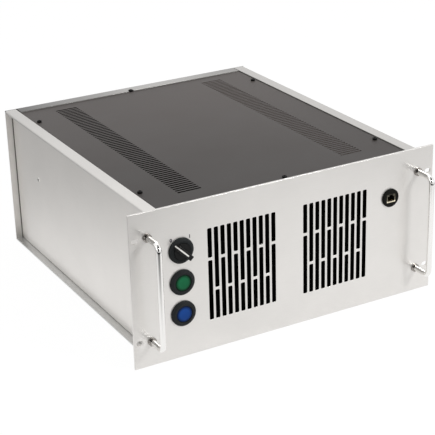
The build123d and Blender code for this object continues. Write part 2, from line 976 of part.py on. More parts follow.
def collector():
    """Make the right-hand copper plate with its tab."""
    x = (stack_half, collector_out)
    y = (stack_y - cell_depth / 2, stack_y + cell_depth / 2)
    plate = block(x, y, (-cell_height / 2, cell_height / 2))
    tab_y = (stack_y - tab_width / 2, stack_y + tab_width / 2)
    plate += block(x, tab_y, (0, bar_z + bar_height))
    hole_x = (stack_half - 1, collector_out + 1)
    return plate - along_x(screw_radius + hole_gap, hole_x, stack_y, bar_z + bar_height / 2)


def insulator():
    """Make the right-hand insulating plate, cut away behind the tab."""
    half_y = cell_depth / 2 + insulator_edge
    half_z = cell_height / 2 + insulator_edge
    x = (collector_out, insulator_out)
    return block(x, (stack_y - half_y, stack_y + half_y), (-half_z, half_z))


def rod_places():
    """Return the (y, z) places of the tie rods."""
    return [(stack_y + y, z) for y in (-rod_y, rod_y) for z in (-rod_z, 0, rod_z)]


def end_plate():
    """Make the right-hand end plate with pockets and rod holes."""
    outline = RectangleRounded(2 * end_half_y, 2 * end_half_z, end_plate_corner)
    base = Plane((insulator_out, stack_y, 0), x_dir=(0, 1, 0), z_dir=(1, 0, 0))
    plate = extrude(base * outline, end_plate_thick)
    pocket = RectangleRounded(cell_depth * 0.36, cell_height * 0.34, 5)
    top = Plane((stack_end, stack_y, 0), x_dir=(0, 1, 0), z_dir=(1, 0, 0))
    for side in (-1, 1):
        for level in (-0.02, 0.44):
            place = Pos(side * cell_depth * 0.24, cell_height * (level - 0.02), 0)
            plate -= extrude(top * place * pocket, -pocket_depth)
    for y, z in rod_places():
        plate -= along_x(rod_radius + hole_gap, (insulator_out - 1, stack_end + 1), y, z)
    for y, z in foot_bolt_places():
        plate -= along_x(screw_radius + running_gap, (stack_end - end_plate_thick * 0.8, stack_end + 1), y, z)
    port = (stack_back - end_plate_thick, stack_back + 1)
    plate -= along_y(tube_radius + running_gap, port, port_x(), gas_z)
    return plate


def port_x():
    """Return the X of the gas port in the right-hand end plate."""
    return (insulator_out + stack_end) / 2


def tie_rods():
    """Make the rods that clamp the stack."""
    reach = stack_end + spring_thick + rod_nut_thick + rod_out
    return [along_x(rod_radius, (-reach, reach), y, z) for y, z in rod_places()]


def rod_nuts():
    """Make the nuts and disc springs on both ends of the rods."""
    bore = rod_radius + running_gap
    pieces = []
    for y, z in rod_places():
        spring_x = (stack_end, stack_end + spring_thick)
        spring = along_x(rod_nut_flats / 2 + 1, spring_x, y, z)
        spring -= along_x(bore, (spring_x[0] - 1, spring_x[1] + 1), y, z)
        nut = hex_nut(rod_nut_flats, bore, rod_nut_thick)
        nut = Pos(spring_x[1], y, z) * Rot(0, 90, 0) * nut
        pieces += [spring, nut, mirrored(spring), mirrored(nut)]
    return pieces


def foot_bolt_places():
    """Return the (y, z) places of the bolts from a foot into its end plate."""
    z = -end_half_z + end_plate_edge
    return [(stack_y + y, z) for y in (-tab_width * 1.5, tab_width * 1.5)]


def stack_foot():
    """Make the right-hand angle foot under the stack."""
    y = (stack_y - cell_depth / 2, stack_y + cell_depth / 2)
    wall = block((stack_end, stack_end + sheet), y, (floor_top, floor_top + foot_height))
    base = block((stack_end, stack_end + foot_reach), y, (floor_top, floor_top + sheet))
    foot = wall + base
    for bolt_y, z in foot_bolt_places():
        foot -= along_x(screw_radius + hole_gap, (stack_end - 1, stack_end + sheet + 1), bolt_y, z)
    return foot - floor_stud_holes(sheet)


def floor_stud_places():
    """Return (x, y, clamped thickness) of each stud on the floor."""
    foot_x = stack_end + foot_reach * 0.6
    places = [(side * foot_x, stack_y + y, sheet) for side in (-1, 1) for y in (-foot_stud_y, foot_stud_y)]
    bracket_x = (gas_bracket_width + gas_flange) / 2
    for y in (valve_y + gas_flange, regulator_y + regulator_length - gas_flange):
        places += [(side * bracket_x, y, thin_sheet) for side in (-1, 1)]
    ear_x = converter_width / 2 - converter_ear
    for y in (converter_y - converter_ear / 2, converter_y + converter_length + converter_ear / 2):
        places += [(converter_x + side * ear_x, y, converter_ear_thick) for side in (-1, 1)]
    return places


def floor_stud_holes(thick):
    """Return the clearance holes round the studs that clamp this thickness."""
    z = (floor_top - 1, floor_top + thick + 1)
    return [along_z(stud_hole, z, x, y) for x, y, clamped in floor_stud_places() if clamped == thick]


def floor_nuts():
    """Make the nuts on the floor's studs."""
    nut = hex_nut(nut_flats, stud_radius + running_gap, nut_thick)
    return [Pos(x, y, floor_top + clamped) * nut for x, y, clamped in floor_stud_places()]


def bolt_x(x, y, z, reach):
    """Return a bolt along X whose head stands outwards at x."""
    side = 1 if reach < 0 else -1
    head = along_x(screw_head_radius, sorted((x, x + side * screw_head_height)), y, z)
    return head + along_x(screw_radius, sorted((x, x + reach)), y, z)


def stack_bolts():
    """Make the bolts of the feet, the collectors' tabs and the bars."""
    bolts = []
    for y, z in foot_bolt_places():
        bolt = bolt_x(stack_end + sheet, y, z, -sheet - end_plate_thick / 2)
        bolts += [bolt, mirrored(bolt)]
    z = bar_z + bar_height / 2
    tab_bolt = bolt_x(collector_out + bar_thick, stack_y, z, -bar_thick - collector_thick - tab_bolt_reach)
    bolts += [tab_bolt, mirrored(tab_bolt)]
    for face in post_faces():
        bolts.append(bolt_x(face - bar_thick, post_y(), z, bar_thick + post_size / 2))
    return bolts


def bulkhead(x):
    """Make a tube fitting through the rear panel, open at both ends."""
    outer = body_depth + bulkhead_out
    inner = rear_inner - bulkhead_in
    profile = (
        (0, inner),
        (port_radius, inner),
        (port_radius, body_depth),
        (bulkhead_radius, body_depth),
        (bulkhead_radius, body_depth + bulkhead_out / 2),
        (port_radius + 1, body_depth + bulkhead_out / 2),
        (port_radius + 1, outer - 1),
        (port_radius, outer),
        (0, outer),
    )
    fitting = turned(profile, x, gas_z)
    bore = tube_radius + running_gap
    fitting -= along_y(bore, (outer - bulkhead_bore_depth, outer + 1), x, gas_z)
    fitting -= along_y(tube_radius / 2, (inner - 1, outer + 1), x, gas_z)
    return fitting - along_y(bore, (inner - 1, inner + bulkhead_in / 2), x, gas_z)


def bulkhead_nuts():
    """Make the nuts that clamp the fittings from inside."""
    y = (rear_inner - lock_nut_thick, rear_inner)
    flats = 2 * bulkhead_radius
    return [hex_nut_y(flats, port_radius + running_gap, y, x, gas_z) for x in (-gas_x, gas_x)]


def gas_block(x, y):
    """Make a valve or regulator body, bored at both ends for its tubes."""
    half = gas_box / 2
    body = block((x - half, x + half), y, (gas_z - half, gas_z + half))
    body = chamfer(body.edges().filter_by(Axis.Y), 2)
    bore = tube_radius + running_gap
    body -= along_y(bore, (y[0] - 1, y[0] + port_length), x, gas_z)
    return body - along_y(bore, (y[1] - port_length, y[1] + 1), x, gas_z)


def gas_valve(x):
    """Make a solenoid valve with its square coil."""
    body = gas_block(x, (valve_y, valve_y + valve_length))
    half = coil_size / 2
    middle = valve_y + valve_length / 2
    base = gas_z + gas_box / 2
    coil = block((x - half, x + half), (middle - half, middle + half), (base, base + coil_height))
    coil = fillet(coil.edges().filter_by(Axis.Z), 3)
    stem = along_z(half / 3, (base + coil_height, base + coil_height + 3), x, middle)
    return body + coil + stem


def pressure_regulator():
    """Make the regulator with its round spring cap."""
    body = gas_block(-gas_x, (regulator_y, regulator_y + regulator_length))
    middle = regulator_y + regulator_length / 2
    base = gas_z + gas_box / 2
    cap = along_z(regulator_cap, (base, base + regulator_cap_height), -gas_x, middle)
    cap = chamfer(cap.edges().sort_by(Axis.Z)[-1], 3)
    return body + cap


def gas_bracket():
    """Make the hat-section bracket that carries the gas train."""
    half = gas_bracket_width / 2
    y = (valve_y - gas_bracket_margin, regulator_y + regulator_length + gas_bracket_margin)
    hat = block((-half, half), y, (floor_top, gas_seat))
    hat += block((-half - gas_flange, half + gas_flange), y, (floor_top, floor_top + thin_sheet))
    hat -= block(
        (-half + thin_sheet, half - thin_sheet),
        (y[0] - 1, y[1] + 1),
        (floor_top - 1, gas_seat - thin_sheet),
    )
    return hat - floor_stud_holes(thin_sheet)


def tube(points):
    """Make a tube through the points with equal bends."""
    path = FilletPolyline(*points, radius=tube_bend)
    start = Vector(*points[0])
    along = Vector(*points[1]) - start
    return sweep(Plane(start, z_dir=along) * Circle(tube_radius), path=path)


def stack_tube(side):
    """Make the tube from one end plate's port to its valve."""
    x = side * port_x()
    return tube(
        (
            (x, stack_back - end_plate_thick / 2, gas_z),
            (x, tube_run_y, gas_z),
            (side * gas_x, tube_run_y, gas_z),
            (side * gas_x, valve_y + port_length - 1, gas_z),
        )
    )


def straight_tube(x, y0, y1):
    """Make a straight tube between two pieces of the gas train."""
    return along_y(tube_radius, (y0, y1), x, gas_z)


def gas_tubes():
    """Make the tubes of the supply and the purge line."""
    valve_end = valve_y + valve_length
    regulator_end = regulator_y + regulator_length
    inner = rear_inner - bulkhead_in
    depth = port_length - 1
    supply = (
        stack_tube(-1),
        straight_tube(-gas_x, valve_end - depth, regulator_y + depth),
        straight_tube(-gas_x, regulator_end - depth, inner + bulkhead_in / 2 - 1),
    )
    purge = (
        stack_tube(1),
        straight_tube(gas_x, valve_end - depth, inner + bulkhead_in / 2 - 1),
    )
    return supply, purge


def converter():
    """Make the voltage converter's finned case with ears and input posts."""
    x = (converter_x - converter_width / 2, converter_x + converter_width / 2)
    y = (converter_y, converter_y + converter_length)
    top = floor_top + converter_height
    case = block(x, y, (floor_top, top))
    ear_y = (y[0] - converter_ear, y[1] + converter_ear)
    case += block(x, ear_y, (floor_top, floor_top + converter_ear_thick))
    case -= floor_stud_holes(converter_ear_thick)
    pitch = (converter_width - fin_thick) / (fin_count - 1)
    fin_y = (y[0] + post_size + 2 * screw_head_height, y[1])
    for fin in range(fin_count):
        left = x[0] + fin * pitch
        case += block((left, left + fin_thick), fin_y, (top, top + fin_height))
    post_z = (top, bar_z + bar_height)
    bolt_z = bar_z + bar_height / 2
    for face in post_faces():
        post = block((face, face + post_size), (y[0], y[0] + post_size), post_z)
        tapped = (face - 1, face + post_size / 2 + 1)
        case += post - along_x(screw_radius + running_gap, tapped, post_y(), bolt_z)
    return case


def post_faces():
    """Return the X of the faces that the bars meet on the two input posts."""
    return collector_out + bar_thick, post_x


def post_y():
    """Return the Y of the bolts in the input posts."""
    return converter_y + post_size / 2


def busbars():
    """Make the copper bars from the collectors' tabs to the input posts."""
    z = (bar_z, bar_z + bar_height)
    bolt_z = bar_z + bar_height / 2
    y0 = stack_y - tab_width / 2
    y1 = converter_y + post_size
    cross_y = converter_y - bar_cross_gap
    right = block((collector_out, collector_out + bar_thick), (y0, y1), z)
    left = block((-collector_out - bar_thick, -collector_out), (y0, cross_y), z)
    left += block((-collector_out - bar_thick, post_x), (cross_y - bar_thick, cross_y), z)
    left += block((post_x - bar_thick, post_x), (cross_y - bar_thick, y1), z)
    bars = []
    for bar, sign, face in ((right, 1, post_faces()[0]), (left, -1, post_faces()[1])):
        tab_x = sorted((sign * (collector_out - 1), sign * (collector_out + bar_thick + 1)))
        bar -= along_x(screw_radius + hole_gap, tab_x, stack_y, bolt_z)
        end_x = (face - bar_thick - 1, face + 1)
        bars.append(bar - along_x(screw_radius + hole_gap, end_x, post_y(), bolt_z))
    return bars


def terminal_places():
    """Return the X of the output terminals."""
    return converter_x - terminal_pitch / 2, converter_x + terminal_pitch / 2


def output_terminals():
    """Make the threaded output studs, necked where they pass the bushes."""
    inner = rear_inner - bush_height
    thread = body_depth + bush_height + terminal_relief
    studs = []
    for x in terminal_places():
        head = along_y(terminal_radius * 1.75, (inner - terminal_head, inner), x, terminal_z)
        neck = along_y(terminal_neck, (inner, thread), x, terminal_z)
        end = along_y(terminal_radius, (thread, body_depth + terminal_out), x, terminal_z)
        studs.append(head + neck + end)
    return studs


def terminal_bushes():
    """Make the insulating bushes of the output terminals."""
    bore = terminal_neck + running_gap
    profile = (
        (bore, rear_inner - bush_height),
        (bush_radius, rear_inner - bush_height),
        (bush_radius, rear_inner),
        (port_radius, rear_inner),
        (port_radius, body_depth),
        (bore, body_depth),
    )
    outer = (
        (bore, body_depth),
        (bush_radius, body_depth),
        (bush_radius - 1, body_depth + bush_height),
        (bore, body_depth + bush_height),
    )
    pieces = []
    for x in terminal_places():
        pieces += [turned(profile, x, terminal_z), turned(outer, x, terminal_z)]
    return pieces


def board_corners():
    """Return the (x, y) places of the board's stand-offs."""
    edge = 2 * standoff_radius
    half = board_width / 2 - edge
    return [
        (board_x + side * half, y)
        for side in (-1, 1)
        for y in (board_y + edge, board_y + board_length - edge)
    ]


def control_board():
    """Make the control board with its larger components."""
    z0 = floor_top + standoff_height
    z1 = z0 + board_thick
    x0 = board_x - board_width / 2
    left = x0 + board_margin
    right = x0 + board_width - board_margin
    front_row = board_y + 2 * board_margin
    next_row = front_row + relay_size + board_margin
    rear_row = board_y + board_length - board_margin
    board = block((x0, x0 + board_width), (board_y, board_y + board_length), (z0, z1))
    board += block((left, left + relay_size), (front_row, front_row + relay_size), (z1, z1 + relay_height))
    board += block((left, left + choke_size), (next_row, next_row + choke_size), (z1, z1 + choke_height))
    board += block(
        (right - 2 * processor_size, right - processor_size),
        (next_row, next_row + processor_size),
        (z1, z1 + processor_height),
    )
    board += block(
        (right - header_length, right),
        (rear_row - header_depth, rear_row),
        (z1, z1 + header_height),
    )
    capacitor_y = rear_row - header_depth - board_margin - capacitor_radius
    board += along_z(capacitor_radius, (z1, z1 + capacitor_height), board_x, capacitor_y)
    for x, y in board_corners():
        board -= along_z(standoff_neck + hole_gap, (z0 - 1, z1 + 1), x, y)
    return board


def standoffs():
    """Make the snap-in pillars under the control board."""
    seat = standoff_height
    top = seat + board_thick
    outline = (
        (0, 0),
        (standoff_radius, 0),
        (standoff_radius, seat),
        (standoff_neck, seat),
        (standoff_neck, top),
        (standoff_head, top),
        (standoff_neck / 2, top + standoff_radius),
        (0, top + standoff_radius),
    )
    pillar = revolve(Plane.XZ * make_face(Polyline(*outline, close=True)), Axis.Z)
    return [Pos(x, y, floor_top) * pillar for x, y in board_corners()]


os.makedirs("parts", exist_ok=True)

save("front_panel", front_panel())
save("panel_nuts", *panel_nuts())
right_side = side_plate()
save("side_plate_right", right_side)
save("side_plate_left", mirrored(right_side))
brace = side_brace()
save("side_braces", mirrored(brace), brace)
rivet = side_rivet()
save("side_rivets", mirrored(rivet), rivet)
rail = top_rail()
save("top_rail_right", rail)
save("top_rail_left", mirrored(rail))
save("front_crossbar", front_crossbar())
save("top_cover", top_cover())
save("cover_screws", *cover_screws())
save("bottom_plate", bottom_plate())
save("rear_panel", rear_panel())
save("rear_screws", *rear_screws())

right_handle = handle()
save("handle_right", right_handle)
save("handle_left", mirrored(right_handle))
save("handle_collars", *handle_collars())
save("handle_screws", *handle_screws())

control_rows = (control_pitch, 0, -control_pitch)
save("control_bezels", *[bezel(z) for z in control_rows])
save("contact_blocks", *[contact_block(z) for z in control_rows])
save("selector_knob", selector_knob())
save("green_button", push_cap(0))
save("blue_button", push_cap(-control_pitch))
save("lock_nuts", *lock_nuts())
save("network_flange", network_flange())
save("network_jack", network_jack())

save("filter_mats", *filter_mats())
save("fan_plate", fan_plate())
save("fan_screws", *fan_screws())
save("fan_frame_left", fan_frame(-vent_x))
save("fan_frame_right", fan_frame(vent_x))
save("fan_rotor_left", fan_rotor(-vent_x))
save("fan_rotor_right", fan_rotor(vent_x))
save("air_duct", air_duct())

save("bipolar_plates", *bipolar_plates())
save("membranes", *membranes())
save("current_collectors", mirrored(collector()), collector())
save("insulator_plates", mirrored(insulator()), insulator())
right_end = end_plate()
save("end_plate_right", right_end)
save("end_plate_left", mirrored(right_end))
save("tie_rods", *tie_rods())
save("rod_nuts", *rod_nuts())
foot = stack_foot()
save("stack_feet", mirrored(foot), foot)
save("stack_bolts", *stack_bolts())
save("floor_nuts", *floor_nuts())

supply_lines, purge_lines = gas_tubes()
save("hydrogen_inlet", bulkhead(-gas_x))
save("purge_outlet", bulkhead(gas_x))
save("bulkhead_nuts", *bulkhead_nuts())
save("pressure_regulator", pressure_regulator())
save("supply_valve", gas_valve(-gas_x))
save("purge_valve", gas_valve(gas_x))
save("gas_bracket", gas_bracket())
save("gas_tubes", *supply_lines, *purge_lines)

save("converter", converter())
save("busbars", *busbars())
save("output_terminals", *output_terminals())
save("terminal_bushes", *terminal_bushes())
save("control_board", control_board())
save("standoffs", *standoffs())
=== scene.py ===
"""Dress the rack-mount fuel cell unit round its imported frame.

The CAD nodes keep their shapes and get their finishes here. The script adds the selector's white
mark, the printed signs on the front panel and the inside of the network socket, then sets the
camera, the lamps and the pale floor. Lengths are in metres, in the frame's own axes: X to the
right, Y from the front to the back and Z up.
"""

import json
import logging
import math
from collections.abc import Callable, Mapping, Sequence
from dataclasses import dataclass, field
from enum import Enum

import bmesh
import bpy
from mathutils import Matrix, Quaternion, Vector


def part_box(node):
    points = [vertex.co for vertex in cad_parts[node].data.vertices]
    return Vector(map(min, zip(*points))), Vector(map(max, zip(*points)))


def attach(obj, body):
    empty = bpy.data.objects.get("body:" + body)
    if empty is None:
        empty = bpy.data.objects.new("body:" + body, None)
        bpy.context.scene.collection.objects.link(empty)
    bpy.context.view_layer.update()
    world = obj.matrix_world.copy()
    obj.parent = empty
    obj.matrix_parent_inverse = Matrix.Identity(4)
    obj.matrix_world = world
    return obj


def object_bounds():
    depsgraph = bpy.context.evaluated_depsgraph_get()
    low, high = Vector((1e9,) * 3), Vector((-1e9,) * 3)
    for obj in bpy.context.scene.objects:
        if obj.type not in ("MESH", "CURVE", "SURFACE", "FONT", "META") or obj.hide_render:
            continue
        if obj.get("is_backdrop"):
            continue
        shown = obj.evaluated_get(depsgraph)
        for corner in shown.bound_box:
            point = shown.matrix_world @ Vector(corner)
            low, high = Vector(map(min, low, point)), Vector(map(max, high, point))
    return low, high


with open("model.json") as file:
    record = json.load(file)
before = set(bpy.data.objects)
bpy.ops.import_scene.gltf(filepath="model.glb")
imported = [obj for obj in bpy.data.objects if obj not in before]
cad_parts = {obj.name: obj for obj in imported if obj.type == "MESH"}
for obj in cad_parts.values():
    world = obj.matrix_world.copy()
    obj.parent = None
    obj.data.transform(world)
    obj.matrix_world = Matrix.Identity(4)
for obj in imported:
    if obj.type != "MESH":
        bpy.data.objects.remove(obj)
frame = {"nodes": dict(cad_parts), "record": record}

LOG = logging.getLogger("fuel_cell_unit")
MM = 0.001
FAR = 1.0  # past every end of the unit
NEAR = 0.01 * MM  # within it, two places count as one
STRAIGHT = 0.9  # a direction with this much of its length along an axis follows that axis

Colour = tuple[float, float, float]
Place = tuple[float, float, float]
Span = tuple[float, float]

WHITE: Colour = (1.0, 1.0, 1.0)
BLACK: Colour = (0.0, 0.0, 0.0)
ANYWHERE: Span = (-FAR, FAR)


def grey(value: float) -> Colour:
    """Return a grey of that linear value."""
    return (value, value, value)


def panel_face() -> float:
    """Return the place of the front panel's face, where the handles' collars end."""
    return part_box("handle_collars")[1].y


# --------------------------------------------------------------------------- shader writing


class Signal:
    """A socket of a material's node tree, which Python's operators turn into Math nodes."""

    def __init__(self, shader: "Shader", socket: bpy.types.NodeSocket) -> None:
        """Keep the socket and the shader that owns it."""
        self.shader = shader
        self.socket = socket

    def _maths(
        self, operation: str, first: "Signal | float", second: "Signal | float"
    ) -> "Signal":
        """Add a Math node.

        Args:
            operation: the node's operation.
            first: its first value or signal.
            second: its second value or signal.

        Returns:
            The node's result.
        """
        return self.shader.add("ShaderNodeMath", {"operation": operation}, {0: first, 1: second})

    def __add__(self, other: "Signal | float") -> "Signal":
        """Return self + other."""
        return self._maths("ADD", self, other)

    def __radd__(self, other: "Signal | float") -> "Signal":
        """Return other + self."""
        return self._maths("ADD", other, self)

    def __sub__(self, other: "Signal | float") -> "Signal":
        """Return self - other."""
        return self._maths("SUBTRACT", self, other)

    def __rsub__(self, other: "Signal | float") -> "Signal":
        """Return other - self."""
        return self._maths("SUBTRACT", other, self)

    def __mul__(self, other: "Signal | float") -> "Signal":
        """Return self * other."""
        return self._maths("MULTIPLY", self, other)

    def __rmul__(self, other: "Signal | float") -> "Signal":
        """Return other * self."""
        return self._maths("MULTIPLY", other, self)

    def __pow__(self, other: "Signal | float") -> "Signal":
        """Return self to the power of other."""
        return self._maths("POWER", self, other)

    def __lt__(self, other: "Signal | float") -> "Signal":
        """Return 1 where self is less than other, and 0 elsewhere."""
        return self._maths("LESS_THAN", self, other)

    def __gt__(self, other: "Signal | float") -> "Signal":
        """Return 1 where self is greater than other, and 0 elsewhere."""
        return self._maths("GREATER_THAN", self, other)

    def __or__(self, other: "Signal | float") -> "Signal":
        """Return the greater of the two."""
        return self._maths("MAXIMUM", self, other)

    def __and__(self, other: "Signal | float") -> "Signal":
        """Return the lesser of the two."""
        return self._maths("MINIMUM", self, other)


class Shader:
    """One node tree under construction, for a material or for the world."""

    def __init__(self, tree: bpy.types.NodeTree) -> None:
        """Empty the tree, so that every node in it is one of ours."""
        self.tree = tree
        self.tree.nodes.clear()

    def add(
        self,
        kind: str,
        settings: Mapping[str, object] | None = None,
        inputs: Mapping[int | str, object] | None = None,
        output: int | str = 0,
    ) -> Signal:
        """Add a node.

        Args:
            kind: the node's type.
            settings: its settings, set first.
            inputs: values or signals, by socket name or number.
            output: the socket to return.

        Returns:
            The chosen output of the new node.
        """
        node = self.tree.nodes.new(kind)
        for name, value in (settings or {}).items():
            setattr(node, name, value)
        for key, value in (inputs or {}).items():
            socket = node.inputs[key]
            if isinstance(value, Signal):
                self.tree.links.new(value.socket, socket)
            elif socket.type == "RGBA" and len(value) == 3:
                socket.default_value = (*value, 1.0)
            else:
                socket.default_value = value
        return Signal(self, node.outputs[output] if node.outputs else None)

    def place(self, centre: Place = (0, 0, 0), stretch: Place = (1, 1, 1)) -> Signal:
        """Return the place on the piece.

        Args:
            centre: where the place is measured from.
            stretch: what each of its coordinates is multiplied by.

        Returns:
            The Object coordinates.
        """
        here = self.add("ShaderNodeTexCoord", output="Object")
        moved = self.add("ShaderNodeVectorMath", {"operation": "SUBTRACT"}, {0: here, 1: centre})
        return self.add("ShaderNodeVectorMath", {"operation": "MULTIPLY"}, {0: moved, 1: stretch})

    def axis(self, name: str, centre: Place = (0, 0, 0)) -> Signal:
        """Return one Object coordinate, named X, Y or Z, measured from a centre."""
        return self.add("ShaderNodeSeparateXYZ", None, {0: self.place(centre)}, name)

    def reach(self, first: str, second: str, centre: Place) -> Signal:
        """Return the distance from a centre, seen along the axis that isn't named."""
        across, along = self.axis(first, centre), self.axis(second, centre)
        return (across * across + along * along) ** 0.5

    def noise(
        self, size: float, stretch: Place = (1, 1, 1), detail: float = 2.0, rough: float = 0.5
    ) -> Signal:
        """Return soft noise.

        Args:
            size: how far apart its lumps are, in metres.
            stretch: how much more often it repeats along each axis.
            detail: the octaves of finer noise.
            rough: how strong the finer noise is.

        Returns:
            The noise, from 0 to 1 about a middle of 0.5.
        """
        return self.add(
            "ShaderNodeTexNoise",
            None,
            {
                "Vector": self.place(stretch=stretch),
                "Scale": 1 / size,
                "Detail": detail,
                "Roughness": rough,
            },
        )

    def cells(self, size: float, output: str = "Distance", feature: str = "F1") -> Signal:
        """Return a cell pattern of that size in metres: a distance, or a colour for each cell."""
        return self.add(
            "ShaderNodeTexVoronoi",
            {"feature": feature},
            {"Vector": self.place(), "Scale": 1 / size},
            output,
        )

    def waves(self, direction: str, pitch: float, distortion: float = 0.0) -> Signal:
        """Return even ridges.

        Args:
            direction: the axis that crosses them, X, Y or Z.
            pitch: the distance from one to the next, in metres.
            distortion: how far they wander.

        Returns:
            The ridges' height, from 0 to 1.
        """
        radians_per_unit = 20.0
        return self.add(
            "ShaderNodeTexWave",
            {"bands_direction": direction, "wave_profile": "SIN"},
            {
                "Vector": self.place(),
                "Scale": 2 * math.pi / radians_per_unit / pitch,
                "Distortion": distortion,
                "Detail Scale": 3.0,
            },
            "Fac",
        )

    def ease(self, value: Signal, low: float, high: float, start: float, end: float) -> Signal:
        """Return the value, eased from low..high to start..end and held at both ends."""
        return self.add(
            "ShaderNodeMapRange",
            {"interpolation_type": "SMOOTHSTEP"},
            {"Value": value, 1: low, 2: high, 3: start, 4: end},
        )

    def mix(self, start: Signal | Colour, end: Signal | Colour, share: Signal | float) -> Signal:
        """Return a colour that goes from start to end as share goes from 0 to 1."""
        settings = {"data_type": "RGBA", "clamp_factor": True}
        return self.add("ShaderNodeMix", settings, {0: share, 6: start, 7: end}, 2)

    def relief(self, height: Signal, depth: float, edge: float = 0.0) -> Signal:
        """Return the normal of a surface with a relief.

        Args:
            height: the relief, from 0 to 1.
            depth: its full height, in metres.
            edge: the radius that sharp edges seem to have, in metres.

        Returns:
            The normal.
        """
        inputs: dict[int | str, object] = {"Height": height, "Distance": depth, "Strength": 1.0}
        if edge:
            inputs["Normal"] = self.add("ShaderNodeBevel", {"samples": 6}, {"Radius": edge})
        return self.add("ShaderNodeBump", None, inputs)

    def blend(self, share: Signal | float, first: Signal, second: Signal) -> Signal:
        """Return a shader that goes from first to second as share goes from 0 to 1."""
        return self.add("ShaderNodeMixShader", None, {0: share, 1: first, 2: second})

    def surface(
        self, shades: Sequence[tuple[Signal, Colour]] = (), **sockets: Signal | float
    ) -> None:
        """End the tree in a Principled surface.

        Args:
            shades: regions of painted shade and painted light, matt instead, each with its
                colour.
            **sockets: the surface's sockets, named with underscores.
        """
        names = {name.replace("_", " "): value for name, value in sockets.items()}
        body = self.add("ShaderNodeBsdfPrincipled", None, names, "BSDF")
        for inside, colour in shades:
            matt = self.add("ShaderNodeBsdfDiffuse", None, {"Color": colour})
            body = self.blend(inside, body, matt)
        self.add("ShaderNodeOutputMaterial", None, {"Surface": body})


# --------------------------------------------------------------------------- finishes


class Grain(Enum):
    """The direction in which a surface was ground or drawn, as noise stretch."""

    ALONG_X = (0.03, 1.0, 1.0)
    ALONG_Y = (1.0, 0.03, 1.0)
    ALONG_Z = (1.0, 1.0, 0.03)
    NONE = (1.0, 1.0, 1.0)


@dataclass(frozen=True)
class Region:
    """A box-shaped region of a piece, open along the axes that it doesn't bound."""

    x: Span = ANYWHERE
    y: Span = ANYWHERE
    z: Span = ANYWHERE

    def inside(self, shader: Shader) -> Signal:
        """Tell the region from the rest.

        Args:
            shader: the node tree to work in.

        Returns:
            1 within the region and 0 outside it.
        """
        sides = []
        for name, span in zip("XYZ", (self.x, self.y, self.z)):
            if span != ANYWHERE:
                along = shader.axis(name)
                sides += [along > span[0], along < span[1]]
        inside = sides[0]
        for side in sides[1:]:
            inside = inside & side
        return inside


@dataclass(frozen=True)
class Shade:
    """A matt region in a tone of the finish's colour: painted shade, painted light past a tone of
    1.
    """

    region: Region
    tone: float = 0.0


@dataclass(frozen=True)
class Fade:
    """Painted light and shade along one axis, between stops that give a place and its tone."""

    axis: str
    stops: tuple[tuple[float, float], ...]

    def tone(self, shader: Shader) -> Signal:
        """Work out the tone along the axis.

        Args:
            shader: the node tree to work in.

        Returns:
            The tone at each place.
        """
        along = shader.axis(self.axis)
        tone: Signal | float = self.stops[0][1]
        for (start, first), (end, second) in zip(self.stops, self.stops[1:]):
            tone = shader.ease(along, start, end, 0.0, second - first) + tone
        return tone


@dataclass(frozen=True)
class Finish:
    """A surface finish, which becomes one material."""

    name: str
    colour: Colour

    def paint(self, shader: Shader) -> None:
        """Write the finish's nodes.

        Args:
            shader: the material's node tree, still empty.
        """
        raise NotImplementedError

    def material(self) -> bpy.types.Material:
        """Make the finish's material, the first time that it is asked for.

        Returns:
            The material.
        """
        title = f"{self.name}_look"
        made = bpy.data.materials.get(title)
        if made is None:
            made = bpy.data.materials.new(title)
            made.use_nodes = True
            self.paint(Shader(made.node_tree))
        return made

    def toned(self, factor: float) -> Colour:
        """Return the finish's colour, made darker or lighter by a factor."""
        return tuple(min(1.0, channel * factor) for channel in self.colour)

    def shaded(self, shader: Shader, shades: Sequence[Shade]) -> list[tuple[Signal, Colour]]:
        """Return where each painted shade and painted light lies, and its colour."""
        return [(shade.region.inside(shader), self.toned(shade.tone)) for shade in shades]


@dataclass(frozen=True)
class Satin(Finish):
    """Ground and anodised aluminium, with faint streaks, clouds and handling marks."""

    grain: Grain = Grain.ALONG_X
    metallic: float = 0.6
    roughness: float = 0.3
    streak: float = 0.03
    edge: float = 0.4 * MM
    relief: float = 0.002 * MM
    streak_size: float = 0.5 * MM
    cloud_size: float = 70 * MM
    speck_size: float = 0.25 * MM
    # painted shade and light: matt shades, and a fade that darkens the colour along one axis
    # within the faded region
    shades: tuple[Shade, ...] = ()
    painted_fade: Fade | None = None
    faded: Region | None = None

    def paint(self, shader: Shader) -> None:
        """Write the finish's nodes.

        Args:
            shader: the material's node tree, still empty.
        """
        streaks = shader.noise(self.streak_size, self.grain.value, detail=4.0, rough=0.65)
        clouds = shader.noise(self.cloud_size, detail=3.0)
        specks = shader.noise(self.speck_size, detail=1.0)
        tone = shader.ease(streaks * 0.5 + clouds * 0.5, 0.3, 0.7, 0.0, 1.0)
        colour = shader.mix(self.toned(1 - self.streak), self.toned(1 + self.streak), tone)
        # painted light and shade: the fade darkens the colour along one axis, within the faded
        # region
        if self.painted_fade:
            share = self.faded.inside(shader) if self.faded else 1.0
            colour = shader.mix(colour, shader.mix(BLACK, colour, self.painted_fade.tone(shader)), share)
        shader.surface(
            self.shaded(shader, self.shades),
            Base_Color=colour,
            Metallic=self.metallic,
            Roughness=self.roughness + (clouds - 0.5) * 0.04 + (streaks - 0.5) * 0.03,
            Normal=shader.relief(streaks * 0.7 + specks * 0.3, self.relief, self.edge),
        )


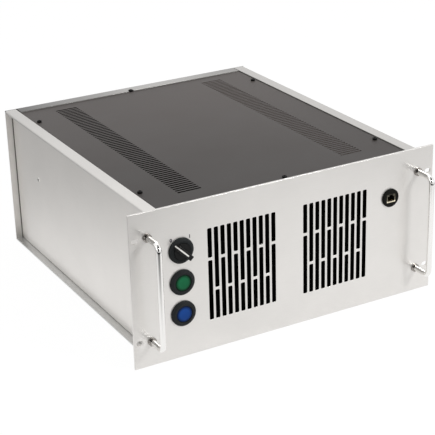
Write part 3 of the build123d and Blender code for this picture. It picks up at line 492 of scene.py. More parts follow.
@dataclass(frozen=True)
class Paint(Finish):
    """Matt powder paint, with a fine orange-peel texture and faintly rubbed patches."""

    roughness: float = 0.5
    specular: float = 0.3
    edge: float = 0.3 * MM
    relief: float = 0.02 * MM
    peel_size: float = 0.9 * MM
    fleck_size: float = 0.2 * MM
    cloud_size: float = 90 * MM
    # painted light and shade: fades that darken the colour along an axis, and matt shades
    painted_fades: tuple[Fade, ...] = ()
    shades: tuple[Shade, ...] = ()

    def paint(self, shader: Shader) -> None:
        """Write the finish's nodes.

        Args:
            shader: the material's node tree, still empty.
        """
        peel = shader.noise(self.peel_size, detail=2.0)
        flecks = shader.noise(self.fleck_size, detail=1.0)
        clouds = shader.noise(self.cloud_size, detail=3.0, rough=0.55)
        tone = shader.ease(clouds * 0.6 + flecks * 0.4, 0.35, 0.65, 0.0, 1.0)
        colour = shader.mix(self.toned(0.93), self.toned(1.08), tone)
        # painted light and shade: each fade darkens the colour along one axis
        for painted_fade in self.painted_fades:
            colour = shader.mix(BLACK, colour, painted_fade.tone(shader))
        shader.surface(
            self.shaded(shader, self.shades),
            Base_Color=colour,
            Roughness=self.roughness + (clouds - 0.5) * 0.16 + (peel - 0.5) * 0.06,
            Specular_IOR_Level=self.specular,
            Normal=shader.relief(peel * 0.8 + flecks * 0.2, self.relief, self.edge),
        )


@dataclass(frozen=True)
class Moulded(Finish):
    """Moulded plastic with a spark-eroded skin."""

    roughness: float = 0.42
    specular: float = 0.3
    edge: float = 0.25 * MM
    relief: float = 0.012 * MM
    skin_size: float = 0.35 * MM
    cloud_size: float = 14 * MM

    def paint(self, shader: Shader) -> None:
        """Write the finish's nodes.

        Args:
            shader: the material's node tree, still empty.
        """
        skin = shader.noise(self.skin_size, detail=2.0, rough=0.6)
        clouds = shader.noise(self.cloud_size, detail=2.0)
        shader.surface(
            Base_Color=shader.mix(self.toned(0.8), self.toned(1.25), skin * 0.5 + clouds * 0.5),
            Roughness=self.roughness + (skin - 0.5) * 0.12 + (clouds - 0.5) * 0.12,
            Specular_IOR_Level=self.specular,
            Normal=shader.relief(skin, self.relief, self.edge),
        )


@dataclass(frozen=True)
class Lens(Finish):
    """A tinted push-button lens: fine prisms behind a satin face, painted light, a darker rim."""

    centre: Place
    radius: float
    pitch: float = 0.9 * MM
    edge: float = 0.2 * MM
    relief: float = 0.01 * MM
    cloud_size: float = 3 * MM

    def paint(self, shader: Shader) -> None:
        """Write the finish's nodes.

        Args:
            shader: the material's node tree, still empty.
        """
        reach = shader.reach("X", "Z", self.centre)
        rim = shader.ease(reach, 0.55 * self.radius, 0.98 * self.radius, 0.0, 1.0)
        # painted light: the lens paler along a slant towards its top left
        slant = shader.axis("Z", self.centre) - shader.axis("X", self.centre) * 0.4
        glow = shader.ease(slant, -self.radius, self.radius, 0.0, 1.0)
        prisms = shader.waves("X", self.pitch) * shader.waves("Z", self.pitch)
        cloud = shader.noise(self.cloud_size)
        painted_lit = shader.mix(self.colour, self.toned(1.5), glow * 0.7 + prisms * 0.15 + cloud * 0.15)
        shader.surface(
            Base_Color=shader.mix(painted_lit, self.toned(0.3), rim),
            Roughness=0.34 + (cloud - 0.5) * 0.1,
            Specular_IOR_Level=0.12,
            Normal=shader.relief(prisms, self.relief, self.edge),
        )


@dataclass(frozen=True)
class Plated(Finish):
    """Plated or blackened steel, mottled in patches by the bath."""

    roughness: float = 0.3
    patch: float = 2.5 * MM
    contrast: float = 0.12
    edge: float = 0.15 * MM
    relief: float = 0.004 * MM
    mottle_size: float = 1.2 * MM

    def paint(self, shader: Shader) -> None:
        """Write the finish's nodes.

        Args:
            shader: the material's node tree, still empty.
        """
        spangle = shader.cells(self.patch)
        mottle = shader.noise(self.mottle_size, detail=3.0)
        tone = shader.ease(spangle * 0.6 + mottle * 0.4, 0.2, 0.7, 0.0, 1.0)
        dark, light = self.toned(1 - self.contrast), self.toned(1 + self.contrast)
        shader.surface(
            Base_Color=shader.mix(dark, light, tone),
            Metallic=1.0,
            Roughness=self.roughness + (mottle - 0.5) * 0.2,
            Normal=shader.relief(mottle, self.relief, self.edge),
        )


@dataclass(frozen=True)
class Turned(Finish):
    """Metal from a lathe or mill, with even tool marks across one axis."""

    across: str = "Y"
    roughness: float = 0.26
    mark_pitch: float = 0.22 * MM
    tarnish: float = 0.12
    edge: float = 0.15 * MM
    relief: float = 0.006 * MM
    cloud_size: float = 9 * MM

    def paint(self, shader: Shader) -> None:
        """Write the finish's nodes.

        Args:
            shader: the material's node tree, still empty.
        """
        marks = shader.waves(self.across, self.mark_pitch, 0.6)
        clouds = shader.noise(self.cloud_size, detail=3.0)
        tone = shader.ease(clouds * 0.7 + marks * 0.3, 0.25, 0.7, 0.0, 1.0)
        dull, bright = self.toned(1 - self.tarnish), self.toned(1 + self.tarnish / 3)
        shader.surface(
            Base_Color=shader.mix(dull, bright, tone),
            Metallic=1.0,
            Roughness=self.roughness + (clouds - 0.5) * 0.2 + marks * 0.06,
            Normal=shader.relief(marks, self.relief, self.edge),
        )


@dataclass(frozen=True)
class Foam(Finish):
    """Open-cell filter foam, whose thin struts stand between pores painted dark as shade."""

    pore: float = 1.4 * MM
    relief: float = 0.3 * MM
    fuzz_size: float = 0.5 * MM

    def paint(self, shader: Shader) -> None:
        """Write the finish's nodes.

        Args:
            shader: the material's node tree, still empty.
        """
        wall = shader.cells(self.pore, feature="DISTANCE_TO_EDGE")
        strut = shader.ease(wall, 0.04, 0.22, 1.0, 0.0)
        fuzz = shader.noise(self.fuzz_size)
        # painted shade: the pores darker than the struts
        shader.surface(
            Base_Color=shader.mix(self.toned(0.3), self.colour, strut * 0.8 + fuzz * 0.2),
            Roughness=0.85 + (fuzz - 0.5) * 0.1,
            Specular_IOR_Level=0.0,
            Normal=shader.relief(strut, self.relief),
        )


@dataclass(frozen=True)
class Graphite(Finish):
    """Pressed graphite plate, grey-black with a sprinkling of bright flakes."""

    flake: float = 0.35 * MM
    edge: float = 0.2 * MM
    relief: float = 0.01 * MM
    cloud_size: float = 12 * MM

    def paint(self, shader: Shader) -> None:
        """Write the finish's nodes.

        Args:
            shader: the material's node tree, still empty.
        """
        flakes = shader.cells(self.flake)
        clouds = shader.noise(self.cloud_size, detail=3.0)
        flash = shader.ease(flakes, 0.05, 0.16, 1.0, 0.0)
        body = shader.mix(self.toned(0.8), self.toned(1.2), clouds)
        shader.surface(
            Base_Color=shader.mix(body, self.toned(3.0), flash * 0.5),
            Metallic=0.25,
            Roughness=0.52 - flash * 0.16 + (clouds - 0.5) * 0.1,
            Normal=shader.relief(flakes, self.relief, self.edge),
        )


@dataclass(frozen=True)
class Woven(Finish):
    """Laminate or coated cloth, whose crossing threads show through its face."""

    thread: float = 0.7 * MM
    roughness: float = 0.5
    coat: float = 0.2
    edge: float = 0.15 * MM
    relief: float = 0.02 * MM
    cloud_size: float = 11 * MM

    def paint(self, shader: Shader) -> None:
        """Write the finish's nodes.

        Args:
            shader: the material's node tree, still empty.
        """
        weave = shader.waves("Y", self.thread, 0.4) * shader.waves("Z", self.thread, 0.4)
        clouds = shader.noise(self.cloud_size, detail=2.0)
        tone = weave * 0.5 + clouds * 0.5
        shader.surface(
            Base_Color=shader.mix(self.toned(0.86), self.toned(1.1), tone),
            Roughness=self.roughness + (clouds - 0.5) * 0.15,
            Coat_Weight=self.coat,
            Coat_Roughness=0.3,
            Normal=shader.relief(weave, self.relief, self.edge),
        )


@dataclass(frozen=True)
class CircuitBoard(Finish):
    """A printed board: green mask over tracks, and black parts above its face."""

    face: float
    part_colour: Colour = (0.02, 0.02, 0.022)
    track_pitch: float = 3.2 * MM
    block: float = 7 * MM
    edge: float = 0.15 * MM
    relief: float = 0.03 * MM
    skin_size: float = 0.6 * MM

    def paint(self, shader: Shader) -> None:
        """Write the finish's nodes.

        Args:
            shader: the material's node tree, still empty.
        """
        blocks = shader.cells(self.block, "Color")
        turn = shader.add("ShaderNodeSeparateColor", None, {0: blocks}, "Red") > 0.5
        rows, columns = (shader.waves(axis, self.track_pitch) for axis in "XY")
        lines = rows * turn + columns * (1 - turn)
        track = shader.ease(lines, 0.68, 0.8, 0.0, 1.0)
        part = shader.axis("Z") > self.face
        mask = shader.mix(self.colour, self.toned(1.9), track * 0.7)
        skin = shader.noise(self.skin_size)
        shader.surface(
            Base_Color=shader.mix(mask, self.part_colour, part),
            Roughness=0.28 + part * 0.22 + (skin - 0.5) * 0.1,
            Normal=shader.relief(track * (1 - part) + skin * 0.2, self.relief, self.edge),
        )


@dataclass(frozen=True)
class Ink(Finish):
    """Screen-printed ink, slightly uneven where the mesh laid it down."""

    roughness: float = 0.5
    mesh: float = 0.12 * MM
    relief: float = 0.004 * MM
    blot_size: float = 0.9 * MM

    def paint(self, shader: Shader) -> None:
        """Write the finish's nodes.

        Args:
            shader: the material's node tree, still empty.
        """
        screen = shader.waves("X", self.mesh) * shader.waves("Z", self.mesh)
        blots = shader.noise(self.blot_size, detail=3.0)
        shader.surface(
            Base_Color=shader.mix(self.toned(0.85), self.toned(1.15), blots),
            Roughness=self.roughness + (blots - 0.5) * 0.15,
            Specular_IOR_Level=0.3,
            Normal=shader.relief(screen, self.relief),
        )


# --------------------------------------------------------------------------- dressing the nodes


def lens_finish(name: str, colour: Colour, node: str) -> Lens:
    """Return a lens finish centred on its CAD node."""
    low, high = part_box(node)
    return Lens(name, colour, centre=tuple((low + high) / 2), radius=(high.x - low.x) / 2)


def board_face() -> float:
    """Return a height just above the control board, under the parts that stand on it."""
    board_thick, clear = 1.6 * MM, 0.2 * MM
    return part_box("control_board")[0].z + board_thick + clear


@dataclass
class Wardrobe:
    """The finish of every CAD node, by material slot, with some nodes dressed on their own."""

    silver: Colour = (0.77, 0.75, 0.725)
    panel_silver: Colour = (0.8, 0.78, 0.755)
    side_silver: Colour = (0.86, 0.835, 0.805)
    # the tones from here on are painted shade and painted light, darkening or lightening the
    # colours
    side_top_painted_shade: float = 0.88
    panel_top_painted_shade: float = 0.95
    left_rail_painted_reflection: tuple[float, ...] = (0.96, 0.84, 0.72)
    right_rail_painted_reflection: tuple[float, ...] = (0.73, 0.71, 0.69)
    rail_step_painted_shade: float = 0.22
    cover_back_painted_reflection: Span = (0.55, 0.98)
    cover_right_painted_light: Span = (0.82, 1.0)
    cover_wall_painted_light: float = 1.4
    rear_strip_stops: Span = (-100 * MM, 30 * MM)
    rear_strip_painted_reflection: tuple[float, ...] = (0.1, 0.32, 0.58, 0.38)
    rear_painted_shade_tone: float = 0.3
    jack_painted_light_tones: tuple[float, ...] = (1.0, 0.22, 0.08)
    fold_width: float = 0.25 * MM
    step_depth: float = 3 * MM
    slots: dict[str, Finish] = field(init=False)
    nodes: dict[str, Finish] = field(init=False)

    def __post_init__(self) -> None:
        """Lay out the finishes."""
        self.slots = self._case_slots() | self._control_slots() | self._inner_slots()
        side = self._side()
        self.nodes = {
            "side_plate_left": side,
            "side_plate_right": side,
            "side_rivets": self._rivets(),
            "front_panel": self._panel(),
            "top_rail_left": self._rail("left", self.left_rail_painted_reflection),
            "top_rail_right": self._rail("right", self.right_rail_painted_reflection),
            "rear_panel": self._rear(),
            "handle_collars": Plated(
                "collar_chrome", (0.32, 0.3, 0.28), roughness=0.12, patch=1.5 * MM, contrast=0.05
            ),
            "selector_knob": Moulded("knob_black", grey(0.007), roughness=0.35, specular=0.2),
            "network_flange": Moulded(
                "flange_black", (0.01, 0.01, 0.009), roughness=0.55, specular=0.04
            ),
        }

    def _case_slots(self) -> dict[str, Finish]:
        """Return the finishes of the case and its trim."""
        return {
            "panel_silver": Satin("mill_silver", (0.62, 0.62, 0.61), Grain.ALONG_Y, streak=0.06),
            "handle_silver": Satin(
                "handle_silver",
                (0.9, 0.89, 0.87),
                Grain.ALONG_Z,
                metallic=1.0,
                roughness=0.1,
                edge=0.0,
            ),
            "zinc_steel": Plated("zinc_steel", (0.7, 0.7, 0.71)),
            "cover_grey": self._cover(),
            "screw_black": Moulded("screw_black", grey(0.007), roughness=0.4, specular=0.08),
        }

    def _control_slots(self) -> dict[str, Finish]:
        """Return the finishes of the controls and the socket."""
        return {
            "control_black": Moulded(
                "control_black", (0.022, 0.024, 0.025), roughness=0.5, specular=0.06
            ),
            "lens_green": lens_finish("lens_green", (0.006, 0.1, 0.039), "green_button"),
            "lens_blue": lens_finish("lens_blue", (0.006, 0.043, 0.2), "blue_button"),
            "socket_metal": self._jack(),
        }

    def _inner_slots(self) -> dict[str, Finish]:
        """Return the finishes of what works inside the case."""
        return {
            "filter_foam": Foam("filter_foam", grey(0.0015)),
            "fan_black": Moulded("fan_black", grey(0.01), roughness=0.5, specular=0.12),
            "graphite": Graphite("graphite", (0.06, 0.06, 0.064)),
            "membrane": Woven(
                "membrane", (0.5, 0.45, 0.32), thread=0.4 * MM, roughness=0.45, coat=0.4
            ),
            "insulator": Woven(
                "insulator", (0.72, 0.7, 0.62), thread=0.9 * MM, roughness=0.55, coat=0.1
            ),
            "copper": Turned(
                "copper", (0.72, 0.4, 0.27), "Z", roughness=0.3, mark_pitch=0.5 * MM, tarnish=0.25
            ),
            "end_plate": Turned(
                "end_plate",
                (0.66, 0.66, 0.67),
                "Z",
                roughness=0.32,
                mark_pitch=1.2 * MM,
                tarnish=0.06,
            ),
            "fitting_brass": Turned("fitting_brass", (0.76, 0.58, 0.28), "Y"),
            "valve_metal": Turned(
                "valve_metal",
                (0.6, 0.6, 0.61),
                "X",
                roughness=0.34,
                mark_pitch=0.6 * MM,
                tarnish=0.08,
            ),
            "tube_steel": Satin(
                "tube_steel",
                (0.66, 0.66, 0.68),
                Grain.ALONG_X,
                metallic=1.0,
                roughness=0.24,
                edge=0.0,
            ),
            "board_green": CircuitBoard("board_green", (0.012, 0.11, 0.045), board_face()),
        }

    def _side(self) -> Satin:
        """Lay out the side plates' finish, with painted shade slightly darker towards the top.

        Returns:
            The finish.
        """
        low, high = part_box("side_plate_left")
        # painted shade: darker towards the top
        painted_fade = Fade("Z", ((low.z, 1.0), (high.z, self.side_top_painted_shade)))
        return Satin("side_silver", self.side_silver, Grain.ALONG_Y, painted_fade=painted_fade)

    def _rivets(self) -> Satin:
        """Lay out the rivets' finish: a painted highlight above, painted shade towards the lower
        back.

        Returns:
            The finish.
        """
        highlight_share, shade_share = 0.35, 0.7
        low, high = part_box("side_rivets")
        front = low.y + highlight_share * (high.y - low.y)
        above = low.z + shade_share * (high.z - low.z)
        # painted highlight: the near-white colour; painted shade: the lower back, matt black
        return Satin(
            "rivet_painted_light",
            (0.97, 0.96, 0.94),
            Grain.NONE,
            metallic=0.1,
            roughness=0.2,
            shades=(Shade(Region(y=(front, FAR), z=(-FAR, above))),),
        )

    def _panel(self) -> Satin:
        """Lay out the front panel's finish, with painted shade on the vents' cut edges.

        Returns:
            The finish.
        """
        lip = 0.3 * MM
        low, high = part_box("filter_mats")
        depth = (panel_face() + lip, high.y)
        # painted shade: the vents' slot walls, matt black
        vents = Shade(Region((low.x, high.x), depth, (low.z, high.z)))
        low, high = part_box("front_panel")
        # painted shade: the panel slightly darker towards the top
        painted_fade = Fade("Z", ((low.z, 1.0), (high.z, self.panel_top_painted_shade)))
        return Satin("front_silver", self.panel_silver, Grain.ALONG_X, shades=(vents,), painted_fade=painted_fade)

    def _rail(self, hand: str, tones: tuple[float, ...]) -> Satin:
        """Lay out a top rail's finish, with painted shade on its step down to the cover.

        Args:
            hand: left or right.
            tones: the rail's painted reflection tone at its front end, halfway and at its back
                end.

        Returns:
            The finish.
        """
        cover_gap = 1.6 * MM
        low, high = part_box(f"top_rail_{hand}")
        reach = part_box("top_cover")[1].x + cover_gap
        below = Region(x=(-reach, reach), z=(-FAR, high.z - self.fold_width))
        # painted shade: the step down to the cover, matt
        step = Shade(below, self.rail_step_painted_shade)
        # painted reflection: the rail's tone along its length
        painted_fade = Fade("Y", tuple(zip((low.y, (low.y + high.y) / 2, high.y), tones)))
        name = f"rail_{hand}_silver"
        return Satin(name, self.silver, Grain.ALONG_Y, shades=(step,), painted_fade=painted_fade)

    def _cover(self) -> Paint:
        """Lay out the cover's finish, with painted light paler to the back and the right.

        The left band's slot walls are black as painted shade, the right band's pale as painted
        light.

        Returns:
            The finish.
        """
        middle = 30 * MM
        skin = 0.1 * MM
        low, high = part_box("top_cover")
        # painted reflection: paler to the back
        back = Fade("Y", tuple(zip((low.y, high.y), self.cover_back_painted_reflection)))
        # painted light: paler to the right
        right = Fade("X", tuple(zip((low.x, high.x), self.cover_right_painted_light)))
        along = (low.y, high.y)
        below_face = (-FAR, high.z - skin)
        # painted shade: the left band's slot walls, matt black
        black = Shade(Region((low.x, -middle), along, below_face))
        # painted light: the right band's slot walls, matt and pale
        pale = Shade(Region((middle, high.x), along, below_face), self.cover_wall_painted_light)
        colour = (0.082, 0.0705, 0.066)
        return Paint("cover_top", colour, painted_fades=(back, right), shades=(black, pale))

    def _rear(self) -> Satin:
        """Lay out the rear panel's finish.

        The step in front of its top strip and its inner side are in painted shade, and the
        strip's tone changes along its length as painted reflection.

        Returns:
            The finish.
        """
        web_gap = 0.4 * MM
        edge_depth = 4 * MM
        skin = 1 * MM
        low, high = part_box("rear_panel")
        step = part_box("top_cover")[1].z
        under = step - self.step_depth
        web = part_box("side_plate_right")[1].x + web_gap
        upright = (under, high.z - self.fold_width)
        # painted shade: the step in front of the top strip
        edge = Region((low.x, high.x), (-FAR, low.y + edge_depth), upright)
        # painted shade: the inner side
        inside = Region((-web, web), (-FAR, high.y - skin), (-FAR, under))
        # painted reflection: the top strip's tone along its length
        stops = (low.x, *self.rear_strip_stops, high.x)
        strip = Fade("X", tuple(zip(stops, self.rear_strip_painted_reflection)))
        return Satin(
            "rear_silver",
            self.silver,
            Grain.ALONG_X,
            shades=(Shade(edge, self.rear_painted_shade_tone), Shade(inside, self.rear_painted_shade_tone)),
            painted_fade=strip,
            faded=Region(z=(step, FAR)),
        )

    def _jack(self) -> Satin:
        """Lay out the socket body's finish: a painted highlight on its lower lip, painted shade
        above.

        Returns:
            The finish.
        """
        lip_rise, shade_rise = 1.5 * MM, 4 * MM
        low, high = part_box("network_jack")
        # painted highlight on the lower lip, fading into painted shade above
        heights = (low.z + lip_rise, low.z + shade_rise, high.z)
        return Satin(
            "jack_metal",
            (0.88, 0.8, 0.62),
            Grain.NONE,
            metallic=0.8,
            roughness=0.2,
            painted_fade=Fade("Z", tuple(zip(heights, self.jack_painted_light_tones))),
        )

    def dress(self) -> None:
        """Put its finish on every CAD node."""
        for part in frame["record"]["subparts"]:
            name = part["node"]
            finish = self.nodes.get(name, self.slots[part["material_slot"]])
            mesh = frame["nodes"][name].data
            mesh.materials.clear()
            mesh.materials.append(finish.material())
            LOG.info("%s: %s", name, finish.name)


# --------------------------------------------------------------------------- the modelling bench


class Bench:
    """The modelling steps that the new pieces share, all worked with Blender's operators."""

    @staticmethod
    def clear() -> None:
        """Deselect everything, in object mode."""
        if bpy.context.object and bpy.context.object.mode != "OBJECT":
            bpy.ops.object.mode_set(mode="OBJECT")
        bpy.ops.object.select_all(action="DESELECT")

    @staticmethod
    def hold(piece: bpy.types.Object) -> None:
        """Select one piece alone and make it active.

        Args:
            piece: the piece.
        """
        Bench.clear()
        piece.select_set(True)
        bpy.context.view_layer.objects.active = piece

    @staticmethod
    def settle(piece: bpy.types.Object) -> None:
        """Move a piece's place, turn and scale into its mesh."""
        Bench.hold(piece)
        bpy.ops.object.transform_apply(location=True, rotation=True, scale=True)

    @staticmethod
    def box(name: str, low: Place, high: Place) -> bpy.types.Object:
        """Add a cube stretched between two corners.

        Args:
            name: the piece's name.
            low: its corner with the lowest coordinates.
            high: its corner with the highest coordinates.

        Returns:
            The piece.
        """
        Bench.clear()
        near, far = Vector(low), Vector(high)
        bpy.ops.mesh.primitive_cube_add(size=1, location=(near + far) / 2)
        piece = bpy.context.object
        piece.name = name
        piece.scale = far - near
        Bench.settle(piece)
        return piece

    @staticmethod
    def pick(
        piece: bpy.types.Object,
        face: Callable[[Vector, Vector], bool] | None = None,
        edge: Callable[[Vector, Vector], bool] | None = None,
    ) -> None:
        """Enter edit mode and select some of a piece.

        Args:
            piece: the piece to edit.
            face: the test that a face's middle and normal pass.
            edge: the test that an edge's middle and direction pass.
        """
        Bench.hold(piece)
        bpy.ops.object.mode_set(mode="EDIT")
        bpy.ops.mesh.select_mode(type="FACE" if face else "EDGE")
        bpy.ops.mesh.select_all(action="DESELECT")
        mesh = bmesh.from_edit_mesh(piece.data)
        if face:
            for item in mesh.faces:
                item.select_set(face(item.calc_center_median(), item.normal))
        if edge:
            for item in mesh.edges:
                ends = [corner.co for corner in item.verts]
                item.select_set(edge((ends[0] + ends[1]) / 2, (ends[1] - ends[0]).normalized()))
        bmesh.update_edit_mesh(piece.data)

    @staticmethod
    def done() -> None:
        """Leave edit mode."""
        bpy.ops.object.mode_set(mode="OBJECT")

    @staticmethod
    def heal(piece: bpy.types.Object) -> None:
        """Merge a piece's doubles and turn its faces outwards.

        Args:
            piece: the piece.
        """
        Bench.hold(piece)
        bpy.ops.object.mode_set(mode="EDIT")
        bpy.ops.mesh.select_all(action="SELECT")
        bpy.ops.mesh.remove_doubles(threshold=NEAR)
        bpy.ops.mesh.normals_make_consistent(inside=False)
        Bench.done()

    @staticmethod
    def copies(piece: bpy.types.Object, shifts: Sequence[Place], name: str) -> bpy.types.Object:
        """Copy a piece to several places and join the lot.

        Args:
            piece: the piece to copy, which is used up.
            shifts: how far each copy stands from it.
            name: the joined piece's name.

        Returns:
            The joined piece.
        """
        made = []
        for shift in shifts:
            Bench.hold(piece)
            bpy.ops.object.duplicate()
            copy = bpy.context.object
            copy.location = shift
            Bench.settle(copy)
            made.append(copy)
        bpy.data.objects.remove(piece)
        Bench.clear()
        for copy in made:
            copy.select_set(True)
        bpy.context.view_layer.objects.active = made[0]
        bpy.ops.object.join()
        joined = bpy.context.object
        joined.name = name
        return joined

    @staticmethod
    def fit(piece: bpy.types.Object, finish: Finish, body: str) -> None:
        """Dress a finished piece and set it on its body.

        Args:
            piece: the piece.
            finish: its finish.
            body: the body that it rides on.
        """
        piece.data.materials.clear()
        piece.data.materials.append(finish.material())
        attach(piece, body)
        LOG.info("%s: %d faces on %s", piece.name, len(piece.data.polygons), body)


# --------------------------------------------------------------------------- new pieces


@dataclass
class SelectorMark:
    """The white inlay in the selector's groove, along its grip and down its nose."""

    width: float = 1.9 * MM
    thick: float = 0.4 * MM
    sunk: float = -0.04 * MM
    slack: float = 0.03 * MM
    past_axis: float = 4.5 * MM
    top_half: float = 11.7 * MM
    foot_half: float = 15.0 * MM
    grip_height: float = 11.4 * MM
    corner: float = 0.6 * MM
    turn: float = math.radians(45)
    ink: Ink = Ink("mark_white", (0.82, 0.81, 0.78))

    def build(self) -> None:
        """Model the inlay up the nose and along the grip, and turn it with the grip."""
        low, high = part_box("selector_knob")
        top = low.y + self.sunk
        foot = low.y + self.grip_height - self.slack
        slope = (self.foot_half - self.top_half) / self.grip_height
        start = self.sunk + slope * self.thick - self.foot_half
        half = self.width / 2
        mark = Bench.box(
            "selector_mark",
            (start, foot - self.thick, -half),
            (start + self.thick, foot, half),
        )
        Bench.pick(mark, face=lambda middle, normal: normal.y < -STRAIGHT)
        for rise in (foot - top - 2 * self.thick, self.thick):
            bpy.ops.mesh.extrude_region_move(
                TRANSFORM_OT_translate={"value": (slope * rise, -rise, 0)}
            )
        Bench.done()
        shoulder = start + slope * (foot - top - self.thick)
        along = self.past_axis - self.slack - shoulder - self.thick
        Bench.pick(
            mark, face=lambda middle, normal: normal.x > STRAIGHT and middle.y < top + self.thick
        )
        bpy.ops.mesh.extrude_region_move(TRANSFORM_OT_translate={"value": (along, 0, 0)})
        Bench.done()
        Bench.pick(
            mark,
            edge=lambda middle, way: abs(way.z) > STRAIGHT
            and middle.x < shoulder + NEAR
            and middle.y < top + NEAR,
        )
        bpy.ops.mesh.bevel(offset=self.corner, segments=4)
        Bench.done()
        mark.rotation_euler = (0, self.turn, 0)
        mark.location = ((low.x + high.x) / 2, 0, (low.z + high.z) / 2)
        Bench.settle(mark)
        Bench.fit(mark, self.ink, "selector")


@dataclass
class SocketInside:
    """The network socket's plastic lining and its eight sprung contacts."""

    wall: float = 0.35 * MM
    lip: float = 1.0 * MM
    mouth_width: float = 11.8 * MM
    mouth_height: float = 7.6 * MM
    mouth_depth: float = 13.0 * MM
    mouth_rise: float = 1.8 * MM
    slack: float = 0.02 * MM
    rim: float = 0.08 * MM
    contact_count: int = 8
    contact_pitch: float = 1.02 * MM
    contact_width: float = 0.46 * MM
    contact_thick: float = 0.3 * MM
    contact_inset: float = 2.6 * MM
    contact_foot: float = 0.8 * MM
    contact_gap: float = 0.06 * MM
    contact_round: float = 0.07 * MM
    contact_bends: tuple[tuple[float, float], ...] = (
        (2.4 * MM, 0.9 * MM),
        (3.4 * MM, 1.9 * MM),
        (1.6 * MM, 0.3 * MM),
    )
    plastic: Moulded = Moulded("socket_black", grey(0.01))
    gold: Turned = Turned(
        "contact_gold", (0.83, 0.6, 0.22), "X", roughness=0.2, mark_pitch=0.1 * MM
    )

    def build(self) -> None:
        """Model the lining and the contacts."""
        low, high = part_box("network_jack")
        middle = (low.x + high.x) / 2
        floor = low.z + self.mouth_rise
        self._lining(middle, floor, low.y)
        self._contacts(middle, floor, low.y)

    def _lining(self, middle: float, floor: float, front: float) -> None:
        """Model the lining as a box without a front and a top, given its wall.

        Args:
            middle: the mouth's middle, across.
            floor: the mouth's floor.
            front: the socket's front face.
        """
        half = self.mouth_width / 2 - self.slack
        back = front + self.mouth_depth - self.slack
        ceiling = floor + self.mouth_height - self.slack
        lining = Bench.box(
            "jack_lining",
            (middle - half, front + self.lip, floor + self.slack),
            (middle + half, back, ceiling),
        )
        Bench.pick(
            lining, face=lambda centre, normal: normal.y < -STRAIGHT or normal.z > STRAIGHT
        )
        bpy.ops.mesh.delete(type="FACE")
        Bench.done()
        Bench.hold(lining)
        wall = lining.modifiers.new("wall", "SOLIDIFY")
        wall.thickness = self.wall
        wall.offset = -1.0
        bpy.ops.object.modifier_apply(modifier=wall.name)
        Bench.pick(lining, edge=lambda centre, way: centre.y < front + self.lip + NEAR)
        bpy.ops.mesh.bevel(offset=self.rim, segments=2)
        Bench.done()
        Bench.fit(lining, self.plastic, "case")

    def _contacts(self, middle: float, floor: float, front: float) -> None:
        """Model one sprung contact by extrusion and copy it across the mouth.

        Args:
            middle: the mouth's middle, across.
            floor: the mouth's floor.
            front: the socket's front face.
        """
        start = front + self.contact_inset
        rise = floor + self.wall + self.contact_gap
        half = self.contact_width / 2
        wire = Bench.box(
            "jack_contact",
            (middle - half, start, rise),
            (middle + half, start + self.contact_foot, rise + self.contact_thick),
        )
        for along, up in self.contact_bends:
            Bench.pick(wire, face=self._rearmost(wire))
            bpy.ops.mesh.extrude_region_move(TRANSFORM_OT_translate={"value": (0, along, up)})
            Bench.done()
        Bench.pick(wire, edge=lambda centre, way: abs(way.x) > STRAIGHT)
        bpy.ops.mesh.bevel(offset=self.contact_round, segments=2)
        Bench.done()
        first = -(self.contact_count - 1) / 2
        shifts = [((first + i) * self.contact_pitch, 0, 0) for i in range(self.contact_count)]
        contacts = Bench.copies(wire, shifts, "jack_contacts")
        Bench.fit(contacts, self.gold, "case")

    @staticmethod
    def _rearmost(piece: bpy.types.Object) -> Callable[[Vector, Vector], bool]:
        """Return a test for the piece's rearmost face."""
        end = max(corner.co.y for corner in piece.data.vertices)
        return lambda centre, normal: abs(centre.y - end) < NEAR


@dataclass
class PanelPrint:
    """The signs printed in dark ink on the front panel."""

    ink: Ink = Ink("print_dark", (0.03, 0.03, 0.045))
    thick: float = 0.04 * MM
    letter_height: float = 4.6 * MM
    letter_share: float = 0.72
    bold: float = 0.3 * MM
    selector_reach: float = 13.8 * MM
    selector_rise: float = 16.7 * MM

    def build(self) -> None:
        """Print the selector's two positions beside it."""
        low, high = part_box("selector_knob")
        axis = Vector(((low.x + high.x) / 2, panel_face(), (low.z + high.z) / 2))
        up = Vector((0, 0, self.selector_rise))
        reach = Vector((self.selector_reach, 0, 0))
        self._letter("print_off", "0", axis + up - reach)
        self._letter("print_on", "I", axis + up + reach)

    def _letter(self, name: str, letter: str, place: Vector) -> None:
        """Print one letter.

        Args:
            name: the piece's name.
            letter: what it shows.
            place: the middle of the letter, on the panel's face.
        """
        Bench.clear()
        bpy.ops.object.text_add()
        text = bpy.context.object
        text.data.body = letter
        text.data.size = self.letter_height / self.letter_share
        text.data.align_x = "CENTER"
        text.data.align_y = "CENTER"
        text.data.extrude = self.thick / 2
        text.data.offset = self.bold
        Bench.hold(text)
        bpy.ops.object.convert(target="MESH")
        text = bpy.context.object
        text.name = name
        text.rotation_euler = (math.radians(90), 0, 0)
        text.location = place - Vector((0, self.thick / 2, 0))
        Bench.settle(text)
        Bench.heal(text)
        Bench.fit(text, self.ink, "case")


# --------------------------------------------------------------------------- studio


@dataclass(frozen=True)
class Softbox:
    """A square area lamp that faces the unit."""

    name: str
    place: Place
    side: float
    watts: float

    def light(self, aim: Vector) -> None:
        """Add the lamp.

        Args:
            aim: the place that it faces.
        """
        lamp = bpy.data.lights.new(self.name, "AREA")
        lamp.shape = "SQUARE"
        lamp.size = self.side
        lamp.energy = self.watts
        stand = bpy.data.objects.new(self.name, lamp)
        stand.location = self.place
        stand.rotation_mode = "QUATERNION"
        stand.rotation_quaternion = (aim - Vector(self.place)).to_track_quat("-Z", "Y")
        bpy.context.scene.collection.objects.link(stand)


@dataclass(frozen=True)
class Flag:
    """A square of dark cloth that faces the unit, for bright metal to mirror."""

    name: str
    place: Place
    side: float


